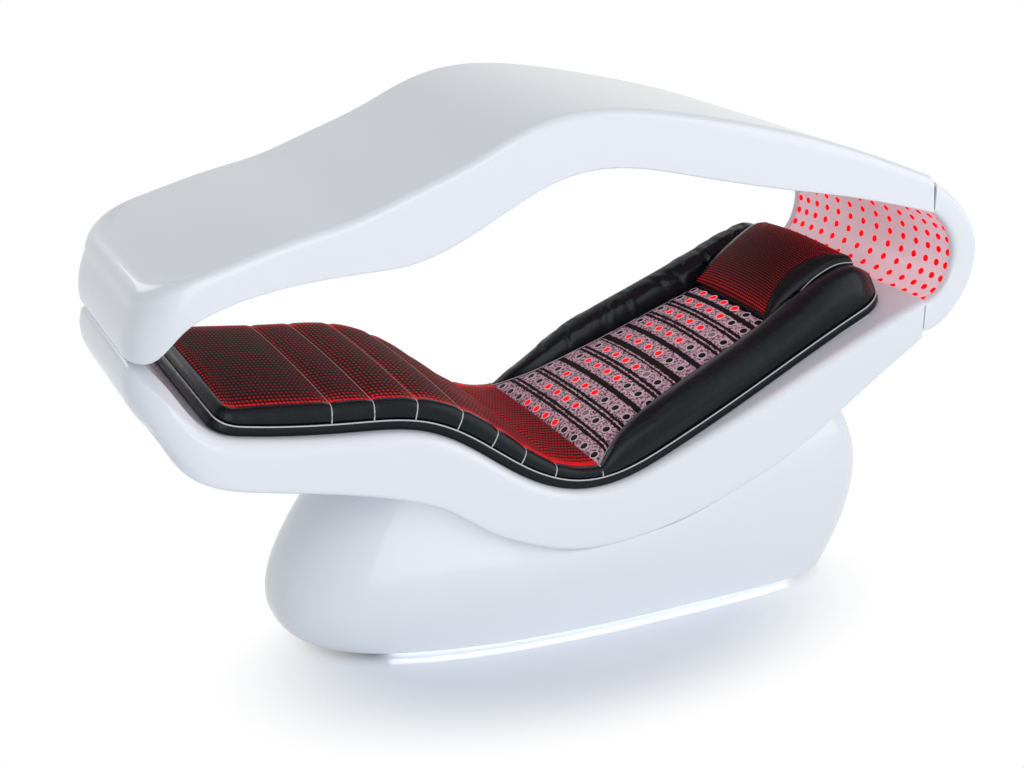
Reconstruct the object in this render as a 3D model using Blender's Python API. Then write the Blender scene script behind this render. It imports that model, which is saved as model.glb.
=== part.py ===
"""Red light therapy couch: a hinged canopy over a cushioned couch on a pedestal base.

Metres, +Z up, +X towards the head end. The origin lies on the floor under the middle of the object.
"""
import math

import bmesh
import bpy
import numpy as np
from mathutils import Vector

# Overall sizes and walls
BODY_WIDTH = 0.760
SHELL_WALL = 0.006
TOUCH_GAP = 0.0003
SEAM_GAP = 0.004
HEAD_SEAM_X = 1.000
SIDE_STATIONS = 23
FLAT_DEG = 0.02
ROUND_STEPS = 20
STATION_MERGE = 0.004
SLOPE_STEP = 0.010

# Couch body: side profiles from the foot lip to the head seam, as (x, z)
DECK_POINTS = [
    (-1.105, 0.905), (-1.062, 0.852), (-1.020, 0.786), (-0.975, 0.746), (-0.900, 0.722), (-0.640, 0.686),
    (-0.463, 0.658), (-0.385, 0.622), (-0.279, 0.548), (-0.169, 0.474), (-0.055, 0.432), (0.062, 0.430),
    (0.239, 0.482), (0.480, 0.577), (0.728, 0.686), (1.000, 0.802),
]
RIM_POINTS = [
    (-1.142, 0.884), (-1.092, 0.850), (-1.052, 0.786), (-1.014, 0.735), (-0.949, 0.697), (-0.640, 0.654),
    (-0.463, 0.626), (-0.385, 0.588), (-0.279, 0.515), (-0.169, 0.444), (-0.055, 0.406), (0.062, 0.404),
    (0.239, 0.452), (0.480, 0.545), (0.728, 0.655), (1.000, 0.789),
]
BELLY_POINTS = [
    (-1.088, 0.728), (-1.039, 0.650), (-0.999, 0.626), (-0.862, 0.586), (-0.543, 0.505), (-0.413, 0.447),
    (-0.306, 0.370), (-0.196, 0.314), (-0.081, 0.275), (0.036, 0.264), (0.154, 0.274), (0.276, 0.298),
    (0.398, 0.338), (0.560, 0.405), (0.700, 0.488), (0.834, 0.580), (1.000, 0.688),
]
COUCH_CORNER_X = -0.930
COUCH_CORNER = 0.165
RIM_ROUNDING = 0.028
BELLY_ROUNDING = 0.012
COUCH_BULGE = 0.022
DECK_FLANGE = 0.055
DECK_ROW_FEET = (-0.950, -0.990, -1.045, -1.105)
DECK_PANEL = 0.006
PANEL_GAP = 0.0006

# Canopy: crest and lower edge profiles, as (x, z)
CREST_POINTS = [
    (-1.118, 1.050), (-1.070, 1.082), (-1.030, 1.103), (-0.943, 1.133), (-0.761, 1.181), (-0.620, 1.212),
    (-0.524, 1.245), (-0.327, 1.319), (-0.226, 1.365), (-0.124, 1.395), (-0.019, 1.403), (0.088, 1.395), (0.312, 1.354),
    (0.550, 1.296), (0.806, 1.212), (0.978, 1.146),
]
EDGE_POINTS = [
    (-1.140, 0.914), (-1.105, 0.921), (-1.070, 0.952), (-1.018, 1.008), (-0.972, 1.033), (-0.881, 1.059),
    (-0.600, 1.082), (-0.503, 1.087), (-0.404, 1.115), (-0.252, 1.189), (-0.148, 1.236), (-0.043, 1.259),
    (0.055, 1.257), (0.233, 1.221), (0.530, 1.154), (0.752, 1.108), (0.996, 1.044),
]
CANOPY_CORNER_X = -0.930
CANOPY_CORNER = 0.165
CREST_ROUNDING = 0.022
CREST_END_ROUNDING = 0.070
CANOPY_BULGE = 0.010
CANOPY_FLANGE = 0.032
LINER_THICKNESS = 0.004
LINER_LAP = 0.014
LINER_HEAD_X = 0.985

# Hinge between canopy and head hood
HINGE_RADIUS = 0.030
HINGE_LIP_DEG = 36.0
SHAFT_RADIUS = 0.009
BUSH_WALL = 0.004
EYE_WALL = 0.007
RUNNING_GAP = 0.0004
HINGE_SIDE_GAP = 0.002
DAMPER_RADIUS = 0.017
DAMPER_LENGTH = 0.060
SHAFT_END = 0.004
ARM_DEG = -38.0
ARM_REACH = 0.034
ARM_HALF_WIDTH = 0.012
ARM_EYE_SPAN_DEG = 45.0

# Head hood: outer and inner curve of its C shape, from the couch seam up to the canopy seam
HOOD_OUTER_POINTS = [
    (1.000, 0.706), (1.032, 0.710), (1.090, 0.748), (1.148, 0.835), (1.161, 0.905), (1.1537, 0.957),
    (1.1256, 1.013), (1.085, 1.062), (1.048, 1.093), (1.000, 1.125),
]
HOOD_INNER_POINTS = [
    (1.000, 0.791), (1.047, 0.816), (1.080, 0.881), (1.083, 0.917), (1.061, 0.984), (1.033, 1.0176),
    (1.000, 1.043),
]
HOOD_ROUNDING = 0.016
HOOD_FLANGE = 0.008
HOOD_PANEL = 0.004
HOOD_PANEL_GAP = 0.002
LAMP_COLUMNS = 14
LAMP_ROWS = 9
LAMP_SIZE = 0.016
LAMP_HEIGHT = 0.002
LAMP_SPREAD_DEG = 56.0
LAMP_EDGE_MARGIN = 0.004

# Ribs, rails and plates of the inner frame
RAIL_Y = 0.190
RIB_THICKNESS = 0.008
HOOD_RIB_TAIL_X = 0.885
RAIL_FOOT_X = -0.900
RAIL_HEAD_X = 0.985
CROSS_TUBE_RADIUS = 0.012
CROSS_TUBE_WALL = 0.002
CROSS_TUBE_CLEAR = 0.060
CROSS_TUBE_PLACES = (-0.700, -0.030, 0.600)
BOLT_RADIUS = 0.005
BOLT_HEAD_RADIUS = 0.009
BOLT_HEAD = 0.006
BOLT_PLACES = (0.915, 0.960)
LIGHTENING_RADIUS = 0.022
LIGHTENING_STEP = 0.240

# Pedestal base: three outlines, each with its nose, its tail and how far its sides lie inside the body
BASE_FLOOR_GAP = 0.019
BASE_LOW = (-0.725, 0.822, 0.028)
BASE_BULGE = (-0.765, 0.904, 0.004)
BASE_TOP = (-0.530, 0.790, 0.009)
BASE_BULGE_HEIGHT = (0.140, 0.260)
BASE_MIDDLE_X = 0.270
BASE_NOSE_POWER = 2.5
BASE_TAIL_POWER = 5.0
BASE_ROWS = 7
BASE_SEAT_GAP = 0.0005
BASE_END_SHARES = (-0.995, -0.975, -0.93, -0.84, -0.68, 0.76, 0.88, 0.95, 0.985, 0.997)
PLATE_HEIGHT = 0.030
PLATE_THICKNESS = 0.008
PLATE_CLEARANCE = 0.004
PLATE_STEPS = 22
FOOT_RADIUS = 0.032
FOOT_EDGE = 0.003
FOOT_PAD = 0.010
FOOT_STEM = 0.012
FOOT_PLACES = ((-0.520, 0.130), (0.640, 0.200))
GLOW_WIDTH = 0.014
GLOW_HEIGHT = 0.008
GLOW_INSET = 0.030
GLOW_FROM_X = -0.520
GLOW_TO_X = 0.660
PEDESTAL_FROM_X = -0.430
PEDESTAL_TO_X = 0.660

# Service bay at the head end of the base
BAY_WIDTH = 0.260
BAY_LOW_Z = 0.062
BAY_HIGH_Z = 0.158
PANEL_X = 0.790
PANEL_THICKNESS = 0.003
PANEL_MARGIN = 0.018
BAY_CUT_CLEARANCE = 0.010
FAN_SIZE = 0.080
FAN_DEPTH = 0.025
FAN_WALL = 0.002
FAN_HUB_RADIUS = 0.016
FAN_TIP_GAP = 0.0015
FAN_BLADES = 7
FAN_BLADE = 0.0015
FAN_CHORD = 0.018
FAN_ROOT_CHORD = 0.011
FAN_ROOT_DEPTH = 0.003
FAN_PITCH_DEG = 35.0
FAN_STRUT = 0.003
FAN_STRUT_DEG = 8.0
FAN_MARGIN = 0.025
SPINDLE_RADIUS = 0.003
VENT_SLOTS = 6
VENT_SLOT = (0.060, 0.006)
INLET_MARGIN = 0.020
INLET_SIZE = (0.050, 0.030)
INLET_WALL = 0.004
INLET_DEPTH = 0.022
FITTING_GAP = 0.010
SWITCH_SIZE = (0.022, 0.030)
SWITCH_WALL = 0.003
SWITCH_DEPTH = 0.016
ROCKER_TILT_DEG = 10.0
ROCKER_PIVOT_DEPTH = 0.002
ROCKER_CLEARANCE = 0.0015
ROCKER_HORN = 0.0045
ROCKER_DIP = 0.0025
ROCKER_BACK = 0.005
SUPPLY_SIZE = (0.230, 0.115, 0.060)
SUPPLY_PLACES = (-0.250, 0.060)
CONTROL_SIZE = (0.180, 0.140, 0.045)
CONTROL_X = 0.350
BOX_BEVEL = 0.003

# Cushions, measured along the deck and square to it
PAD_FOOT_X = -0.985
PAD_HEAD_X = 0.952
PAD_SETBACKS = [(-1.000, 0.035), (-0.300, 0.033), (0.000, 0.024), (0.170, 0.030), (0.480, 0.058),
                (0.780, 0.080), (1.000, 0.090)]
PAD_FOOT_ROUNDING = 0.035
PAD_HEAD_ROUNDING = 0.090
PAD_EDGE = 0.006
PIPING_SETBACK = 0.004
FOOT_LIFT = 0.005
BASE_PAD = 0.026
LAMP_MAT = 0.0025
LEG_MAT = (-0.950, 0.015)
LEG_MAT_SETBACK = 0.080
BACK_MAT = (0.040, 0.640)
BACK_MAT_SETBACK = 0.015
MAT_POCKET = 0.004
LEG_PAD_HEIGHTS = [(-0.975, 0.036), (-0.900, 0.042), (-0.300, 0.046), (-0.120, 0.030), (0.025, 0.022)]
LEG_PAD_HEAD_X = 0.025
LEG_SEAMS = (-0.697, -0.591, -0.490, -0.389, -0.302, -0.221, -0.123)
LEG_BORDER = 0.026
LEG_CROWN = 0.007
CHANNEL_DEPTH = 0.006
CHANNEL_WIDTH = 0.028
BACK_PAD_HEIGHTS = [(0.028, 0.020), (0.080, 0.041), (0.150, 0.056), (0.300, 0.064), (0.520, 0.068),
                    (0.650, 0.062)]
BACK_PAD_HEAD_X = 0.650
BACK_SETBACKS = [(0.028, 0.055), (0.120, 0.107), (0.250, 0.137), (0.400, 0.158), (0.550, 0.174),
                 (0.650, 0.183), (0.950, 0.190)]
BACK_STATIONS = 16
BACK_CROWN = 0.008
BACK_SHOULDER = 0.022
BOLSTER_HEIGHTS = [(0.028, 0.022), (0.090, 0.066), (0.200, 0.097), (0.335, 0.112), (0.470, 0.116),
                   (0.600, 0.115), (0.741, 0.111), (0.860, 0.098), (0.930, 0.070)]
BOLSTER_HEAD_X = 0.930
BOLSTER_HEAD_STATIONS = 8
PILLOW_HEIGHTS = [(0.653, 0.080), (0.700, 0.112), (0.760, 0.136), (0.830, 0.146), (0.880, 0.138),
                  (0.920, 0.106)]
PILLOW_HEAD_X = 0.920
PILLOW_CROWN = 0.012
PILLOW_SHOULDER = 0.035
SEAT_SEAM = 0.003
SOFT_GAP = 0.0006

# Rubber stops on the couch lip, which carry the closed canopy
STOP_X = -1.118
STOP_Y = 0.110
STOP_WIDTH = 0.014
STOP_LENGTH = 0.050

HALF_WIDTH = BODY_WIDTH / 2
FAN_Y = BAY_WIDTH / 2 - FAN_MARGIN - FAN_SIZE / 2
INLET_Y = -(BAY_WIDTH / 2 - INLET_MARGIN - INLET_SIZE[0] / 2)
SWITCH_Y = INLET_Y + INLET_SIZE[0] / 2 + 2 * INLET_WALL + FITTING_GAP + 2 * SWITCH_WALL + SWITCH_SIZE[0] / 2
FINISHES = {
    "gelcoat": ("E9EDF2", 0.15, 0.0),
    "leather": ("101112", 0.35, 0.0),
    "mesh_fabric": ("5A0D12", 0.80, 0.0),
    "patterned_fabric": ("7E6C78", 0.85, 0.0),
    "lamp_panel": ("E3CBD3", 0.35, 0.0),
    "lamp_strip": ("F6FAFF", 0.30, 0.0),
    "steel": ("6E7378", 0.45, 1.0),
    "aluminium": ("B9BDC2", 0.40, 1.0),
    "bronze": ("8C6A3F", 0.40, 1.0),
    "rubber": ("1B1B1C", 0.80, 0.0),
    "black_plastic": ("17181A", 0.50, 0.0),
    "printed_circuit": ("2C2F33", 0.60, 0.0),
}


def clear_scene():
    """Empty the scene."""
    for thing in list(bpy.data.objects):
        bpy.data.objects.remove(thing, do_unlink=True)


def finish(name):
    """The Principled material of one finish, made on first use."""
    material = bpy.data.materials.get(name)
    if material is None:
        code, roughness, metallic = FINISHES[name]
        colour = [int(code[i:i + 2], 16) / 255 for i in (0, 2, 4)]
        linear = [c / 12.92 if c <= 0.04045 else ((c + 0.055) / 1.055) ** 2.4 for c in colour]
        material = bpy.data.materials.new(name)
        material.use_nodes = True
        shader = material.node_tree.nodes["Principled BSDF"]
        shader.inputs["Base Color"].default_value = (*linear, 1.0)
        shader.inputs["Roughness"].default_value = roughness
        shader.inputs["Metallic"].default_value = metallic
    return material


def add_object(name, bm, finish_name, outward=True, origin=(0.0, 0.0, 0.0)):
    """Turn a bmesh into a named object with its origin at the given point."""
    if outward:
        bmesh.ops.recalc_face_normals(bm, faces=bm.faces)
    bmesh.ops.translate(bm, verts=bm.verts, vec=-Vector(origin))
    mesh = bpy.data.meshes.new(name)
    bm.to_mesh(mesh)
    bm.free()
    mesh.shade_smooth()
    mesh.set_sharp_from_angle(angle=math.radians(35))
    piece = bpy.data.objects.new(name, mesh)
    piece.location = origin
    piece.data.materials.append(finish(finish_name))
    bpy.context.scene.collection.objects.link(piece)
    return piece


def spline(points, count=600):
    """Dense points of a natural cubic spline over chord length through the control points."""
    knots = np.array(points, dtype=float)
    steps = np.linalg.norm(np.diff(knots, axis=0), axis=1)
    place = np.concatenate(([0.0], np.cumsum(steps)))
    size = len(knots)
    matrix = np.eye(size)
    right = np.zeros((size, 2))
    for i in range(1, size - 1):
        matrix[i, i - 1:i + 2] = (steps[i - 1], 2 * (steps[i - 1] + steps[i]), steps[i])
        rise = (knots[i + 1] - knots[i]) / steps[i] - (knots[i] - knots[i - 1]) / steps[i - 1]
        right[i] = 6 * rise
    bend = np.linalg.solve(matrix, right)
    along = np.linspace(0.0, place[-1], count)
    part = np.clip(np.searchsorted(place, along, side="right") - 1, 0, size - 2)
    width = steps[part][:, None]
    a = (place[part + 1] - along)[:, None]
    b = (along - place[part])[:, None]
    curve = bend[part] * a ** 3 / (6 * width) + bend[part + 1] * b ** 3 / (6 * width)
    curve += (knots[part] / width - bend[part] * width / 6) * a
    curve += (knots[part + 1] / width - bend[part + 1] * width / 6) * b
    return curve


def height_at(curve, x):
    """The height of a dense curve, or of a line of points, at x."""
    curve = np.asarray(curve)
    return float(np.interp(x, curve[:, 0], curve[:, 1]))


def turning_stations(curve, low, high, count, turn_weight=0.35):
    """Places along x between low and high, closer together where the curve bends."""
    inside = curve[(curve[:, 0] > low) & (curve[:, 0] < high)]
    steps = np.diff(inside, axis=0)
    angle = np.unwrap(np.arctan2(steps[:, 1], steps[:, 0]))
    measure = np.hypot(steps[:, 0], steps[:, 1])
    measure[1:] += turn_weight * np.abs(np.diff(angle))
    total = np.concatenate(([0.0], np.cumsum(measure)))
    places = np.interp(np.linspace(0.0, total[-1], count), total, inside[:, 0])
    places[0] = low
    places[-1] = high
    return [float(x) for x in places]


def offset_line(line, distance):
    """A line of (x, z) points moved square to itself, to its left as it runs towards +X."""
    points = np.asarray(line, dtype=float)
    steps = np.diff(points, axis=0)
    steps /= np.linalg.norm(steps, axis=1)[:, None]
    normals = np.column_stack((-steps[:, 1], steps[:, 0]))
    first = np.vstack((normals[:1], normals))
    second = np.vstack((normals, normals[-1:]))
    middle = first + second
    middle /= np.linalg.norm(middle, axis=1)[:, None]
    reach = distance / np.sum(middle * first, axis=1)
    return points + middle * reach[:, None]


def resample(line, low, high, extra=()):
    """The line between low and high, keeping its own corners and adding points at the extra places."""
    own = [p[0] for p in line if low < p[0] < high]
    more = [x for x in extra if low < x < high and min(abs(x - o) for o in own) > STATION_MERGE]
    places = sorted([low, high] + own + more)
    return [(x, height_at(line, x)) for x in places]


def value_at(table, x):
    """A value that eases between the places of a table."""
    curve = spline(table)
    return float(np.interp(x, curve[:, 0], curve[:, 1]))


def plan_loop(line, curve, foot_x, half, corner, corner_steps=6):
    """A U-shaped loop on a profile: near side from the head, round the foot end, far side back."""
    near = [Vector((x, -half, z)) for x, z in reversed(line)]
    start = line[0][0]
    for step in range(1, corner_steps + 1):
        turn = math.radians(90) * step / corner_steps
        x = start + (foot_x - start) * math.sin(turn)
        near.append(Vector((x, -half + corner * (1 - math.cos(turn)), height_at(curve, x))))
    far = [Vector((p.x, -p.y, p.z)) for p in reversed(near)]
    return near + far


def blend_loops(first, second, across, up):
    """A loop between two others: its plan and its height each part of the way."""
    row = []
    for p, q in zip(first, second):
        plan = p.lerp(q, across)
        row.append(Vector((plan.x, plan.y, p.z + (q.z - p.z) * up)))
    return row


def bulge_loop(row, amount):
    """A loop pushed out at its foot end, and left as it is along the sides."""
    pushed = []
    for i, p in enumerate(row):
        run = row[min(i + 1, len(row) - 1)] - row[max(i - 1, 0)]
        facing = abs(run.y) / math.hypot(run.x, run.y)
        pushed.append(p + Vector((-amount * facing, 0.0, 0.0)))
    return pushed


def skin(bm, rows):
    """Faces between neighbouring rows of points, returned with the rows of vertices."""
    verts = [[bm.verts.new(p) for p in row] for row in rows]
    for a, b in zip(verts, verts[1:]):
        for i in range(len(a) - 1):
            bm.faces.new((a[i], a[i + 1], b[i + 1], b[i]))
    return verts


def ladder(bm, row):
    """Faces across a symmetric loop, from its near side to its far side."""
    half = len(row) // 2
    for i in range(half - 1):
        bm.faces.new((row[i], row[i + 1], row[-2 - i], row[-1 - i]))


def shell(name, bm, finish_name, inside):
    """A skin thickened inwards to a wall; inside is a point on its hollow side."""
    bmesh.ops.recalc_face_normals(bm, faces=bm.faces)
    outward = sum(f.normal.dot(f.calc_center_median() - Vector(inside)) * f.calc_area() for f in bm.faces)
    if outward < 0:
        bmesh.ops.reverse_faces(bm, faces=bm.faces)
    bmesh.ops.dissolve_limit(bm, angle_limit=math.radians(FLAT_DEG), verts=bm.verts, edges=bm.edges)
    piece = add_object(name, bm, finish_name, outward=False)
    wall = piece.modifiers.new("wall", "SOLIDIFY")
    wall.thickness = SHELL_WALL
    wall.offset = -1.0
    wall.use_even_offset = True
    wall.use_quality_normals = True
    return piece


def tube_of_rings(name, rings, finish_name):
    """A closed body through rings of points, with flat ends."""
    bm = bmesh.new()
    verts = [[bm.verts.new(p) for p in ring] for ring in rings]
    count = len(rings[0])
    for a, b in zip(verts, verts[1:]):
        for i in range(count):
            bm.faces.new((a[i], a[(i + 1) % count], b[(i + 1) % count], b[i]))
    bm.faces.new(verts[0])
    bm.faces.new(verts[-1])
    return add_object(name, bm, finish_name)


def circle(centre, radius, count=ROUND_STEPS):
    """Points of a circle in the plane of an outline."""
    turns = [2 * math.pi * i / count for i in range(count)]
    return [(centre[0] + radius * math.cos(t), centre[1] + radius * math.sin(t)) for t in turns]


def lift(point, depth, along):
    """A point of an outline placed in space, at a depth along the named axis."""
    u, v = point
    return {"X": (depth, u, v), "Y": (u, depth, v), "Z": (u, v, depth)}[along]


def plate_mesh(outline, holes, low, high, along):
    """The bmesh of a flat plate: an outline with holes, extruded along one axis."""
    bm = bmesh.new()
    edges = []
    for loop in [outline] + list(holes):
        verts = [bm.verts.new(lift(p, low, along)) for p in loop]
        edges += [bm.edges.new((verts[i - 1], verts[i])) for i in range(len(verts))]
    bmesh.ops.triangle_fill(bm, use_beauty=True, edges=edges)
    made = bmesh.ops.extrude_face_region(bm, geom=list(bm.faces))
    moved = [v for v in made["geom"] if isinstance(v, bmesh.types.BMVert)]
    bmesh.ops.translate(bm, verts=moved, vec=lift((0.0, 0.0), high - low, along))
    return bm


def plate(name, outline, holes, low, high, along, finish_name, origin=(0.0, 0.0, 0.0)):
    """A flat plate as an object."""
    return add_object(name, plate_mesh(outline, holes, low, high, along), finish_name, origin=origin)


def box(name, low, high, finish_name, bevel=BOX_BEVEL):
    """A box with bevelled edges between two corners."""
    bm = bmesh.new()
    bmesh.ops.create_cube(bm, size=1.0)
    middle = (Vector(low) + Vector(high)) / 2
    bmesh.ops.scale(bm, vec=Vector(high) - Vector(low), verts=bm.verts)
    bmesh.ops.translate(bm, vec=middle, verts=bm.verts)
    if bevel > 0:
        bmesh.ops.bevel(bm, geom=list(bm.edges), offset=bevel, segments=1, affect="EDGES")
    return add_object(name, bm, finish_name)


def rectangle(centre, size):
    """The outline of a rectangle."""
    u, v = centre
    a, b = size[0] / 2, size[1] / 2
    return [(u - a, v - b), (u + a, v - b), (u + a, v + b), (u - a, v + b)]


def boolean(piece, other, operation):
    """Join or cut a piece with a helper object that stays out of the model."""
    other.hide_render = True
    other.display_type = "WIRE"
    step = piece.modifiers.new(operation.lower(), "BOOLEAN")
    step.operation = operation
    step.solver = "EXACT"
    step.object = other


class Lines:
    """The profile lines that every piece of the couch, canopy and hood follows."""

    def __init__(self):
        self.deck_curve = spline(DECK_POINTS)
        self.rim_curve = spline(RIM_POINTS)
        self.belly_curve = spline(BELLY_POINTS)
        self.crest_curve = spline(CREST_POINTS)
        self.edge_curve = spline(EDGE_POINTS)
        couch_end = HEAD_SEAM_X - SEAM_GAP
        self.couch_x = turning_stations(self.deck_curve, COUCH_CORNER_X, couch_end, SIDE_STATIONS)
        self.deck = [(x, height_at(self.deck_curve, x)) for x in self.couch_x]
        self.belly = [(x, height_at(self.belly_curve, x)) for x in self.couch_x]
        self.opening_half = HALF_WIDTH - RIM_ROUNDING - DECK_FLANGE
        self.opening_x = self.couch_x[-2]
        self.make_canopy()
        self.make_hood()

    def make_canopy(self):
        """Crest line, which ends in an arc round the hinge axis, and the edge line below it."""
        top_x = HEAD_SEAM_X - SEAM_GAP - HINGE_RADIUS
        ahead = height_at(self.crest_curve, top_x + SLOPE_STEP)
        behind = height_at(self.crest_curve, top_x - SLOPE_STEP)
        lean = math.atan((behind - ahead) / (2 * SLOPE_STEP))
        top_x += HINGE_RADIUS * math.sin(lean)
        top_z = height_at(self.crest_curve, top_x)
        self.hinge = (top_x - HINGE_RADIUS * math.sin(lean), top_z - HINGE_RADIUS * math.cos(lean))
        xs = turning_stations(self.crest_curve, CANOPY_CORNER_X, top_x, SIDE_STATIONS - 4)
        self.canopy_x = xs
        self.crest = [(x, height_at(self.crest_curve, x)) for x in xs]
        start = math.radians(90) - lean
        stop = math.radians(HINGE_LIP_DEG)
        for step in (1, 2, 3):
            turn = start + (stop - start) * step / 3
            x = self.hinge[0] + HINGE_RADIUS * math.cos(turn)
            self.crest.append((x, self.hinge[1] + HINGE_RADIUS * math.sin(turn)))
        seam_x = HEAD_SEAM_X - SEAM_GAP
        edge_x = list(xs[:-1]) + [xs[-2] + (seam_x - xs[-2]) * step / 4 for step in (1, 2, 3, 4)]
        self.edge = [(x, height_at(self.edge_curve, x)) for x in edge_x]

    def make_hood(self):
        """The inner and outer line of the C-shaped hood; each row of lamps has a flat stretch of its own."""
        shares = [0.0]
        for row in range(LAMP_ROWS):
            shares += [(row + 0.25) / LAMP_ROWS, (row + 0.75) / LAMP_ROWS]
        shares.append(1.0)
        outer = spline(HOOD_OUTER_POINTS)
        inner = spline(HOOD_INNER_POINTS)
        places = [round(share * (len(outer) - 1)) for share in shares]
        self.hood_outer = [tuple(outer[i]) for i in places]
        self.hood_inner = [tuple(inner[i]) for i in places]


def make_couch_shell(lines):
    """The couch tray: a deck round the cushion opening, a soft rim, upright sides and a closed belly."""
    rows = []
    for number, foot_x in enumerate(DECK_ROW_FEET):
        half = lines.opening_half + DECK_FLANGE * number / (len(DECK_ROW_FEET) - 1)
        rows.append(plan_loop(lines.deck, lines.deck_curve, foot_x, half, COUCH_CORNER))
    deck_edge = rows[-1]
    rim_line = [(x, height_at(lines.rim_curve, x)) for x in lines.couch_x]
    rim = plan_loop(rim_line, lines.rim_curve, RIM_POINTS[0][0], HALF_WIDTH, COUCH_CORNER)
    for turn in (math.radians(30), math.radians(60)):
        rows.append(blend_loops(deck_edge, rim, math.sin(turn), 1 - math.cos(turn)))
    rows.append(rim)
    raised = lines.belly_curve + np.array((0.0, BELLY_ROUNDING))
    low_line = [(x, z + BELLY_ROUNDING) for x, z in lines.belly]
    belly_foot = BELLY_POINTS[0][0]
    low = plan_loop(low_line, raised, belly_foot - BELLY_ROUNDING, HALF_WIDTH, COUCH_CORNER)
    rows.append(bulge_loop(blend_loops(rim, low, 0.5, 0.5), COUCH_BULGE))
    rows.append(low)
    flat_half = HALF_WIDTH - BELLY_ROUNDING
    rows.append(plan_loop(lines.belly, lines.belly_curve, belly_foot, flat_half, COUCH_CORNER))
    bm = bmesh.new()
    verts = skin(bm, rows)
    ladder(bm, verts[-1])
    deck = verts[0]
    bm.faces.new((deck[0], deck[1], deck[-2], deck[-1]))
    middle_z = (height_at(lines.deck, 0.0) + height_at(lines.belly, 0.0)) / 2
    return shell("couch_shell", bm, "gelcoat", (0.0, 0.0, middle_z))


def band(name, low, high, half, finish_name):
    """A curved sheet between two lines, right across the couch."""
    rings = []
    for (a, b), (c, d) in zip(low, high):
        rings.append([(a, -half, b), (a, half, b), (c, half, d), (c, -half, d)])
    return tube_of_rings(name, rings, finish_name)


def make_deck_panel(lines):
    """The panel that fills the opening of the deck, flush with it."""
    line = resample(lines.deck, COUCH_CORNER_X, lines.opening_x - PANEL_GAP)
    half = lines.opening_half - PANEL_GAP
    return band("deck_panel", offset_line(line, -DECK_PANEL), np.array(line), half, "black_plastic")


def middle_height(low, high, x):
    """The height half way between two lines."""
    return (height_at(low, x) + height_at(high, x)) / 2


def lightening_holes(low, high, from_x, to_x, keep_clear=()):
    """Round holes along the middle of a plate, away from what is fastened to it."""
    holes = []
    x = from_x + LIGHTENING_STEP / 2
    while x < to_x - LIGHTENING_STEP / 3:
        if all(abs(x - place) > CROSS_TUBE_CLEAR for place in keep_clear):
            holes.append(circle((x, middle_height(low, high, x)), LIGHTENING_RADIUS, 12))
        x += LIGHTENING_STEP
    return holes


def bolt_centres(lines):
    """Where the hood ribs are bolted to the couch rails."""
    return [(x, middle_height(lines.belly, lines.deck, x)) for x in BOLT_PLACES]


def couch_inside(lines, from_x, to_x):
    """The lower and upper line of the free space inside the couch."""
    low = offset_line(resample(lines.belly, from_x, to_x), SHELL_WALL + TOUCH_GAP)
    high = offset_line(resample(lines.deck, from_x, to_x), -(max(DECK_PANEL, SHELL_WALL) + TOUCH_GAP))
    return [tuple(p) for p in low], [tuple(p) for p in high]


def sides():
    """The two sides of the couch, with the sign of Y on each."""
    return (("left", -1), ("right", 1))


def across(side, near, far):
    """A span of Y on one side, from the distances off the middle plane."""
    return sorted((side * near, side * far))


def make_couch_rails(lines):
    """Two plates on edge that carry the deck from foot to head."""
    low, high = couch_inside(lines, RAIL_FOOT_X, RAIL_HEAD_X)
    holes = lightening_holes(low, high, RAIL_FOOT_X, BOLT_PLACES[0])
    holes += [circle(c, BOLT_RADIUS + TOUCH_GAP, 12) for c in bolt_centres(lines)]
    for word, side in sides():
        y = across(side, RAIL_Y - RIB_THICKNESS / 2, RAIL_Y + RIB_THICKNESS / 2)
        plate("couch_rail_" + word, low + high[::-1], holes, y[0], y[1], "Y", "steel")


def make_hood_shell(lines):
    """The head hood: a U-section swept round the head end, with flanges that frame the lamp panel."""
    rows = []
    for inner, outer in zip(lines.hood_inner, lines.hood_outer):
        a = np.array(inner)
        b = np.array(outer)
        step = (b - a) / np.linalg.norm(b - a)
        half = [(a, HALF_WIDTH - HOOD_ROUNDING - HOOD_FLANGE)]
        for base, way in ((a, 1), (b, -1)):
            turns = [math.radians(t) for t in ((0, 45, 90) if way > 0 else (90, 45, 0))]
            for turn in turns:
                depth = HOOD_ROUNDING * (1 - math.cos(turn))
                reach = HALF_WIDTH - HOOD_ROUNDING * (1 - math.sin(turn))
                half.append((base + step * depth * way, reach))
        near = [Vector((p[0], -y, p[1])) for p, y in half]
        rows.append(near + [Vector((p.x, -p.y, p.z)) for p in reversed(near)])
    bm = bmesh.new()
    skin(bm, rows)
    middle = (np.array(lines.hood_inner[10]) + np.array(lines.hood_outer[10])) / 2
    return shell("hood_shell", bm, "gelcoat", (middle[0], 0.0, middle[1]))


def lamp_columns():
    """The places of the lamp columns across the panel, closer together towards its sides."""
    spread = math.radians(LAMP_SPREAD_DEG)
    reach = HALF_WIDTH - HOOD_ROUNDING - HOOD_FLANGE - LAMP_SIZE / 2 - LAMP_EDGE_MARGIN
    turns = np.linspace(-spread, spread, LAMP_COLUMNS)
    return [float(reach * math.sin(t) / math.sin(spread)) for t in turns]


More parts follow.
